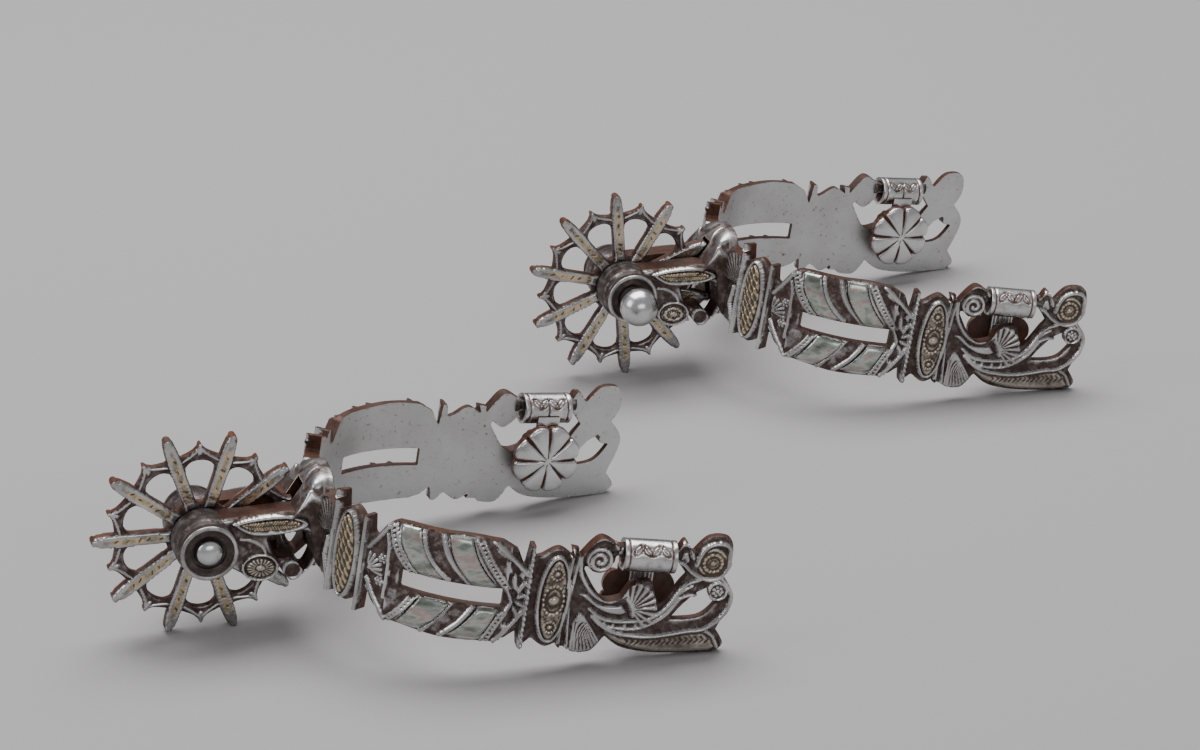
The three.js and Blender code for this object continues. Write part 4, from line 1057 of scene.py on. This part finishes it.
def crown(name, s):
    """The rounded hood where the two cheeks meet the band, cut by the rowel's slot."""
    nx, ny = 44, 60
    xs = np.linspace(21.6, BACK_X + PLATE - 0.1, nx)
    side = np.array(through([(21.6, 8.6), (23.2, 10.0), (24.4, 11.6), (26, 14.6), (28.6, 19.2),
            (31.6, 21.9), (33.4, 22.5), (34.9, 22.6)], 8))
    top = np.interp(xs, side[:, 0], side[:, 1])
    t = np.linspace(-1, 1, ny)
    w = NECK_HALF + 0.2
    ys = w * np.sin(t * math.pi / 2)
    X, Y = np.meshgrid(xs, ys, indexing="ij")
    arch = 11 + 11.6 * np.sqrt(np.clip(1 - np.abs(Y / w) ** 2.6, 0, 1))
    Z = -np.log(np.exp(-np.minimum(top[:, None], 40) * 1.3) + np.exp(-arch * 1.3)) / 1.3
    # arcs chiselled into each shoulder
    for sign in (-1, 1):
        d = np.hypot((X - 30.5) / 1.0, (np.abs(Y) - 6.0) / 1.25)
        ring = np.abs(d - 3.0)
        upper = (X < 31.5) & (sign * Y > 0)
        Z -= np.where(upper, 0.7 * np.exp(-(ring / 0.55) ** 2), 0)
        Z += np.where(upper, 0.3 * np.exp(-((d - 4.1) / 0.4) ** 2), 0)
    line = np.interp(xs, [21.6, 24, 27.6, 28.8, 29.8, 31, 32.5, 34.9],
            [8.2, 10.8, 10.6, 7.5, 3.0, -2.2, -4.6, -4.2])
    low = np.minimum(np.repeat(line[:, None], ny, axis=1), Z - 0.6)
    verts = s.world(np.concatenate([X.ravel(), X.ravel()]), np.concatenate([Y.ravel(), Y.ravel()]),
            np.concatenate([Z.ravel(), low.ravel()]))
    n = nx * ny
    idx = np.arange(n).reshape(nx, ny)
    faces = []
    for i in range(nx - 1):
        for j in range(ny - 1):
            a, b, c, d = idx[i, j], idx[i + 1, j], idx[i + 1, j + 1], idx[i, j + 1]
            faces.append([a, b, c, d])
            faces.append([n + d, n + c, n + b, n + a])
    for i in range(nx - 1):
        faces.append([idx[i, 0] + n, idx[i + 1, 0] + n, idx[i + 1, 0], idx[i, 0]])
        faces.append([idx[i, ny - 1], idx[i + 1, ny - 1], idx[i + 1, ny - 1] + n, idx[i, ny - 1] + n])
    for j in range(ny - 1):
        faces.append([idx[0, j], idx[0, j + 1], idx[0, j + 1] + n, idx[0, j] + n])
        faces.append([idx[nx - 1, j] + n, idx[nx - 1, j + 1] + n, idx[nx - 1, j + 1], idx[nx - 1, j]])
    bend = Z - blurred(Z, np.ones_like(Z), 3)
    wear_and_painted_light = np.clip(0.14 + 1.3 * bend, 0, 1).ravel()
    look = np.stack([np.concatenate([wear_and_painted_light, wear_and_painted_light * 0]), np.zeros(2 * n), np.zeros(2 * n), np.ones(2 * n)],
            -1)
    ob = mesh_object(name, verts, [list(map(int, f)) for f in faces], look, [CHISELLED, WALL, INNER])
    # the rowel's slot
    steps = 96
    ang = np.linspace(0, 2 * math.pi, steps, endpoint=False)
    cut = s.world(np.concatenate([SLOT_RADIUS * np.cos(ang)] * 2),
            np.concatenate([np.full(steps, -SLOT_HALF), np.full(steps, SLOT_HALF)]),
            np.concatenate([SLOT_RADIUS * np.sin(ang)] * 2))
    cf = [[i, (i + 1) % steps, steps + (i + 1) % steps,
            steps + i] for i in range(steps)] + [list(range(steps))[::-1], list(range(steps, 2 * steps))]
    tool = mesh_object(name + "_tool", cut, cf, np.zeros((2 * steps, 4)), [WALL], smooth=False)
    weld(tool)
    weld(ob)
    mod = ob.modifiers.new("slot", "BOOLEAN")
    mod.operation = "DIFFERENCE"
    mod.object = tool
    mod.solver = "EXACT"
    dg = bpy.context.evaluated_depsgraph_get()
    me = bpy.data.meshes.new_from_object(ob.evaluated_get(dg))
    ob.modifiers.clear()
    ob.data = me
    bpy.data.objects.remove(tool)
    return ob


BAND = band_relief()
STRIPS = strip_reliefs()
OVALS = {"collar": oval_relief(COLLAR_OVAL, COLLAR_OVAL_UP, "basket"),
        "strap": oval_relief(STRAP_OVAL, STRAP_OVAL_UP, "rosettes")}
CHEEK = cheek_relief()
LEAF = leaf_inlay()
ROSETTES = {"front": rosette_inlay("front"), "rear": rosette_inlay("rear")}
ROWEL_RELIEF = rowel_relief()
STRIP_NAMES = ("upper_1", "upper_2", "lower_1", "lower_2")


def button_relief():
    n, R = 8, BUTTON_RADIUS
    ang = np.linspace(0, 2 * math.pi, 160, endpoint=False) + math.pi / 8
    lobe = np.abs(np.cos((ang - math.pi / 8) * n / 2)) ** 0.55
    rad = R * (0.87 + 0.13 * lobe)
    r = Relief([(a * math.cos(b), a * math.sin(b)) for a, b in zip(rad, ang)], step=0.3, edge=0.5)
    rr = np.hypot(r.u, r.z) / R
    aa = np.arctan2(r.z, r.u) - math.pi / 8
    wave = np.abs(np.cos(aa * n / 2))
    petal = 1.0 + 2.5 * np.sqrt(np.clip(1 - (0.93 * rr) ** 2, 0, 1))
    r.h = petal - 1.5 * np.clip(1 - wave / 0.40, 0, 1) ** 1.4 * np.clip((rr - 0.04) / 0.25, 0,
            1) - r.rounding(0.6)
    r.h += 0.5 * wave * np.clip(rr, 0, 1)
    r.finish(gain=0.9, flat=0.45)
    # painted shade in the gaps between the petals
    r.wear_and_painted_light = np.where((wave < 0.22) & (rr > 0.08), -0.5, r.wear_and_painted_light)
    return r


BUTTON = button_relief()


def tongue_relief():
    half = 3.5
    top, low = BAR_UP - SLEEVE_DROP - 1.0, BAR_UP - BUTTON_DROP
    pts = [(-half, top), (-half, low + 2)] + through([(-half + 0.4, low - 1.6), (0, low - 3.4),
            (half - 0.4, low - 1.6)]) + [(half, low + 2), (half, top)]
    r = Relief(pts, step=0.3, edge=0.35, base=0.0)
    fan = (r.z > low + 5)
    r.h = np.where(fan, r.h - 0.35 * (1 - np.abs(np.sin(r.u * 2.1 * (1 + 0.02 * (top - r.z))))), r.h)
    return r.finish(flat=0.3)


TONGUE = tongue_relief()


def sleeve(name, s, side, slide):
    """The rolled sleeve: engraved leaf pairs between two end rims."""
    start = BAR_START + (BAR_LENGTH - SLEEVE_LENGTH) / 2 + slide
    n_a, n_l = 120, 60
    ang = np.linspace(0, 2 * math.pi, n_a, endpoint=False)
    run = np.linspace(0, SLEEVE_LENGTH, n_l)
    A, L = np.meshgrid(ang, run, indexing="ij")
    # round the sleeve from its top, outwards negative
    w = SLEEVE_RADIUS * ((A - math.pi / 2 + math.pi) % (2 * math.pi) - math.pi)
    depth = np.zeros_like(A)
    depth -= 0.35 * (np.abs(L - 1.3) < 0.25) + 0.35 * (np.abs(L - SLEEVE_LENGTH + 1.3) < 0.25)
    for cx in (4.9, 10.1):
        for cw in (-4.2, 4.2):
            for sign in (-1, 1):
                x, z = L - cx, w - cw
                c, sn = math.cos(0.75 * sign), math.sin(0.75 * sign)
                p, q = x * c + (z + 1.3) * sn, -x * sn + (z + 1.3) * c
                d = np.abs(np.hypot(p / 0.95, (q - 1.5) / 2.1) - 1)
                depth -= 0.28 * (d < 0.17)
                depth -= 0.22 * ((np.abs(p) < 0.16) & (q > 0) & (q < 3))
    depth -= 0.5 * (np.abs(L - 7.5) < 0.16) * (np.abs(w + 8) < 5)
    R = SLEEVE_RADIUS + depth
    y0, z0 = PLATE / 2, BAR_UP - SLEEVE_DROP
    inner = SLEEVE_RADIUS - 1.3
    U = np.concatenate([(start + L).ravel(), (start + L).ravel()])
    Yy = np.concatenate([(y0 + R * np.cos(A)).ravel(), (y0 + inner * np.cos(A)).ravel()])
    Zz = np.concatenate([(z0 + R * np.sin(A)).ravel(), (z0 + inner * np.sin(A)).ravel()])
    verts = s.branch(side)(U, Yy, Zz)
    n = n_a * n_l
    idx = np.arange(n).reshape(n_a, n_l)
    faces = []
    for i in range(n_a):
        k = (i + 1) % n_a
        for j in range(n_l - 1):
            faces.append([idx[i, j], idx[i, j + 1], idx[k, j + 1], idx[k, j]])
            faces.append([n + idx[k, j], n + idx[k, j + 1], n + idx[i, j + 1], n + idx[i, j]])
        faces.append([idx[i, 0], idx[k, 0], n + idx[k, 0], n + idx[i, 0]])
        faces.append([n + idx[i, n_l - 1], n + idx[k, n_l - 1], idx[k, n_l - 1], idx[i, n_l - 1]])
    wear_and_painted_light = np.clip(0.42 + 1.6 * depth, 0, 1).ravel()
    look = np.stack([np.concatenate([wear_and_painted_light, wear_and_painted_light * 0 + 0.1]), np.zeros(2 * n), np.zeros(2 * n),
            np.ones(2 * n)], -1)
    ob = mesh_object(name, verts, [list(map(int, f)) for f in faces], look, [BRIGHT])
    weld(ob)
    return ob


def built(ob, body, slot, *nodes):
    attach(ob, body)
    if nodes:
        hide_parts(*nodes)
    return ob


def build(name):
    s = Spur(name)
    body = f"{name}_spur"
    for side_name, side in (("near", 1), ("far", -1)):
        flip = side < 0
        place = s.band(side)
        band = relief_object(f"{name}_band_{side_name}", BAND, place, MATS, -PLATE, flip)
        if side > 0:
            built(band, body, "chiselled_steel", f"{name}_heel_band")
        else:
            built(band, body, "chiselled_steel")
        for label, r in zip(STRIP_NAMES, STRIPS):
            built(relief_object(f"{name}_strip_{label}_{side_name}", r, place, [PEARL, WALL, WALL], 0.2,
                    flip), body, "pearl_inlay", f"{name}_rope_strip_{label}_{side_name}")
        for label, r in OVALS.items():
            built(relief_object(f"{name}_{label}_plaque_{side_name}", r, place,
                    [PALE if label == "strap" else GILT, WALL, WALL], 1.0, flip), body, "gold_inlay",
                    f"{name}_{label}_inlay_{side_name}")
        cheek = s.cheek(side)
        built(relief_object(f"{name}_cheek_{side_name}", CHEEK, cheek, [CHISELLED, WALL, WALL], SLOT_HALF,
                flip), body, "chiselled_steel")
        built(relief_object(f"{name}_leaf_{side_name}", LEAF, cheek, [GILT, WALL, WALL], CHEEK_OUTER, flip),
                body, "gold_inlay", f"{name}_cheek_inlay_{side_name}")
        built(relief_object(f"{name}_rosette_{side_name}", ROSETTES[name], cheek, [PALE, WALL, WALL],
                CHEEK_OUTER, flip), body, "gold_inlay", f"{name}_cheek_rosette_{side_name}")

        def hub(a, b, d, side=side):
            return s.world(a * 1.0, -side * d, b * side)
        barrel = [(2.3, SLOT_HALF), (8.6, SLOT_HALF), (9.0, SLOT_HALF + 0.5), (9.0, 9.6), (8.7, 10.6),
                (8.3, 11.4), (8.2, BOSS_OUTER), (2.4, BOSS_OUTER), (2.3, SLOT_HALF)]
        ob = lathe(f"{name}_hub_{side_name}", barrel, hub, [IRON], 72,
                [0, 0.3, 0.42, 0.3, 0.45, 0.3, 0.3, 0.0, 0.0])
        weld(ob)
        built(ob, body, "chiselled_steel")
        low = BOSS_OUTER + 0.3
        ring = through([(5.0, low), (8.2, low)], 1) + through([(8.35, low + 0.2), (8.35, low + 0.9), (8.1,
                low + 1.35), (7.7, low + 1.5), (7.2, low + 1.35)],
                3) + through([(7.0, low + 0.9), (6.2, low + 0.55), (5.0, low + 0.5)], 3)
        wear_and_painted_light = [0.85 if p[0] > 7.1 and p[1] > low + 0.95 else 0.22 for p in ring]
        ob = lathe(f"{name}_ring_{side_name}", ring + [ring[0]], hub, [IRON], 96, wear_and_painted_light + [0.2])
        weld(ob)
        built(ob, body, "dark_iron", f"{name}_boss_ring_{side_name}")
        if name == "rear" and side > 0:
            c = low + 2.6 + math.sqrt(6.2**2 - 3.4**2)
            prof = [(0.01, low), (4.2, low), (4.0, low + 0.5), (3.5, low + 1.2), (3.4, low + 2.6)]
            a0 = math.asin(3.4 / 6.2)
            prof += [(6.2 * math.sin(a0 + (math.pi - a0) * k / 28),
                    c - 6.2 * math.cos(a0 + (math.pi - a0) * k / 28)) for k in range(1, 28)] + [(0.01,
                    c + 6.2)]
        else:
            prof = [(0.01, low), (4.0, low), (4.05, low + 0.4)] + [(4.0 * math.cos(t),
                    low + 0.5 + 2.5 * math.sin(t)) for t in np.linspace(0.05, math.pi / 2 - 0.02,
                    14)] + [(0.01, low + 3.0)]
        ob = lathe(f"{name}_head_{side_name}", prof, hub, [BRIGHT], 72,
                [0.1, 0.1, 0.2] + [0.5] * (len(prof) - 3))
        weld(ob)
        built(ob, body, "polished_steel", f"{name}_pin_head_{side_name}")
        # hanger
        hang = f"{name}_hanger_{side_name}"
        slide = SLIDE[name][0 if side > 0 else 1]
        on_branch = s.branch(side)
        middle = BAR_START + BAR_LENGTH / 2 + slide
        sl = sleeve(f"{name}_sleeve_{side_name}", s, side, slide)
        built(sl, hang, "polished_steel", hang)
        y_tongue = PLATE / 2 + 3.4
        tongue = relief_object(f"{name}_tongue_{side_name}", TONGUE, lambda u, h,
                z: on_branch(middle + u, y_tongue - h, z), [BRIGHT, WALL, BRIGHT], -1.6, flip)
        built(tongue, hang, "polished_steel")
        back = y_tongue + 1.6 + 0.3
        low_z = BAR_UP - BUTTON_DROP
        button = relief_object(f"{name}_petals_{side_name}", BUTTON, lambda u, h,
                z: on_branch(middle - u, back + h, low_z + z), [BRIGHT, BRIGHT, WALL], 0.0, flip)
        built(button, hang, "polished_steel", f"{name}_button_{side_name}")

        def rivet(a, b, d, middle=middle, low_z=low_z, on_branch=on_branch):
            return on_branch(middle + a, d, low_z + b)
        head = y_tongue - 0.3
        prof = [(0.01, head - 1.0), (1.2, head - 0.95), (2.1, head - 0.7), (2.55, head - 0.3), (2.6, head),
                (1.3, head), (1.3, y_tongue + 1.6), (0.01, y_tongue + 1.6)]
        ob = lathe(f"{name}_rivet_{side_name}", prof, rivet, [IRON], 40)
        weld(ob)
        built(ob, hang, "dark_iron", f"{name}_button_rivet_{side_name}")

        def bar(a, b, d, on_branch=on_branch):
            return on_branch(BAR_START + d, PLATE / 2 + a, BAR_UP + b)
        ob = lathe(f"{name}_bar_{side_name}", [(0.01, -1.2), (2.3, -1.2), (2.3, -0.2), (1.7, 0.6), (1.7,
                BAR_LENGTH - 0.6), (2.2, BAR_LENGTH + 0.2), (2.2, BAR_LENGTH + 1), (0.01, BAR_LENGTH + 1)],
                bar, [IRON], 40)
        weld(ob)
        built(ob, body, "chiselled_steel")
    built(crown(f"{name}_crown", s), body, "chiselled_steel")
    a = math.radians(PHASE[name])

    def spin(u, h, z):
        return s.world(u * math.cos(a) - z * math.sin(a), -h, u * math.sin(a) + z * math.cos(a))
    rowel = relief_object(f"{name}_star", ROWEL_RELIEF, spin, [ROWEL, ROWEL_WALL, ROWEL], 0, False,
            both=True)
    built(rowel, f"{name}_rowel", "rowel_steel", f"{name}_rowel")
    pin = frame["nodes"][f"{name}_rowel_pin"]
    pin.data.materials.clear()
    pin.data.materials.append(INNER)


build("front")
build("rear")


# ---- studio ----
def floor():
    me = bpy.data.meshes.new("floor")
    w = 6.0
    n = 60
    verts, faces = [], []
    for i in range(n + 1):
        t = i / n
        y = -3 + 9 * t
        z = 0 if y < 3 else (y - 3) ** 2 * 0.4
        verts += [(-w, y, z), (w, y, z)]
    for i in range(n):
        faces.append((2 * i, 2 * i + 1, 2 * i + 3, 2 * i + 2))
    me.from_pydata(verts, [], faces)
    ob = bpy.data.objects.new("floor", me)
    bpy.context.scene.collection.objects.link(ob)
    m, t, bsdf, coord = nodes_of("paper")
    grain = noise(t, coord, 900, 2, 0.5)
    wide = noise(t, coord, 3.0, 2, 0.5)
    base = mix(t, grain, (0.385, 0.374, 0.377), (0.405, 0.394, 0.397))
    base = mix(t, math_node(t, "MULTIPLY", wide, 0.1), base, (0.34, 0.335, 0.34))
    t.links.new(base, bsdf.inputs["Base Color"])
    bsdf.inputs["Roughness"].default_value = 0.85
    bsdf.inputs["Specular IOR Level"].default_value = 0.15
    me.materials.append(m)
    me.polygons.foreach_set("use_smooth", np.ones(n, bool))


floor()


def area(name, at, target, size, power, color=(1, 1, 1)):
    light = bpy.data.lights.new(name, "AREA")
    light.shape = "RECTANGLE"
    light.size, light.size_y = size
    light.energy = power
    light.color = color
    ob = bpy.data.objects.new(name, light)
    bpy.context.scene.collection.objects.link(ob)
    ob.location = at
    ob.rotation_euler = (Vector(target) - Vector(at)).to_track_quat("-Z", "Y").to_euler()


area("top", (-0.15, 0.45, 1.5), (0, 0, 0), (1.6, 1.1), 34, (1.0, 0.99, 0.98))
area("left", (-1.5, -0.5, 0.9), (0, 0, 0.02), (0.9, 0.9), 7, (0.97, 0.98, 1.0))
area("front", (0.5, -1.6, 0.9), (0, 0, 0.02), (1.2, 0.6), 5)

world = bpy.data.worlds.new("world")
world.use_nodes = True
world.node_tree.nodes["Background"].inputs["Color"].default_value = WORLD_COLOUR
world.node_tree.nodes["Background"].inputs["Strength"].default_value = WORLD_STRENGTH
bpy.context.scene.world = world

camera = bpy.data.cameras.new("camera")
camera.lens = CAMERA_LENS
camera.sensor_width = CAMERA_SENSOR
cam = bpy.data.objects.new("camera", camera)
bpy.context.scene.collection.objects.link(cam)
cam.location = CAMERA_AT
cam.rotation_euler = (CAMERA_TILT, 0, 0)
bpy.context.scene.camera = cam
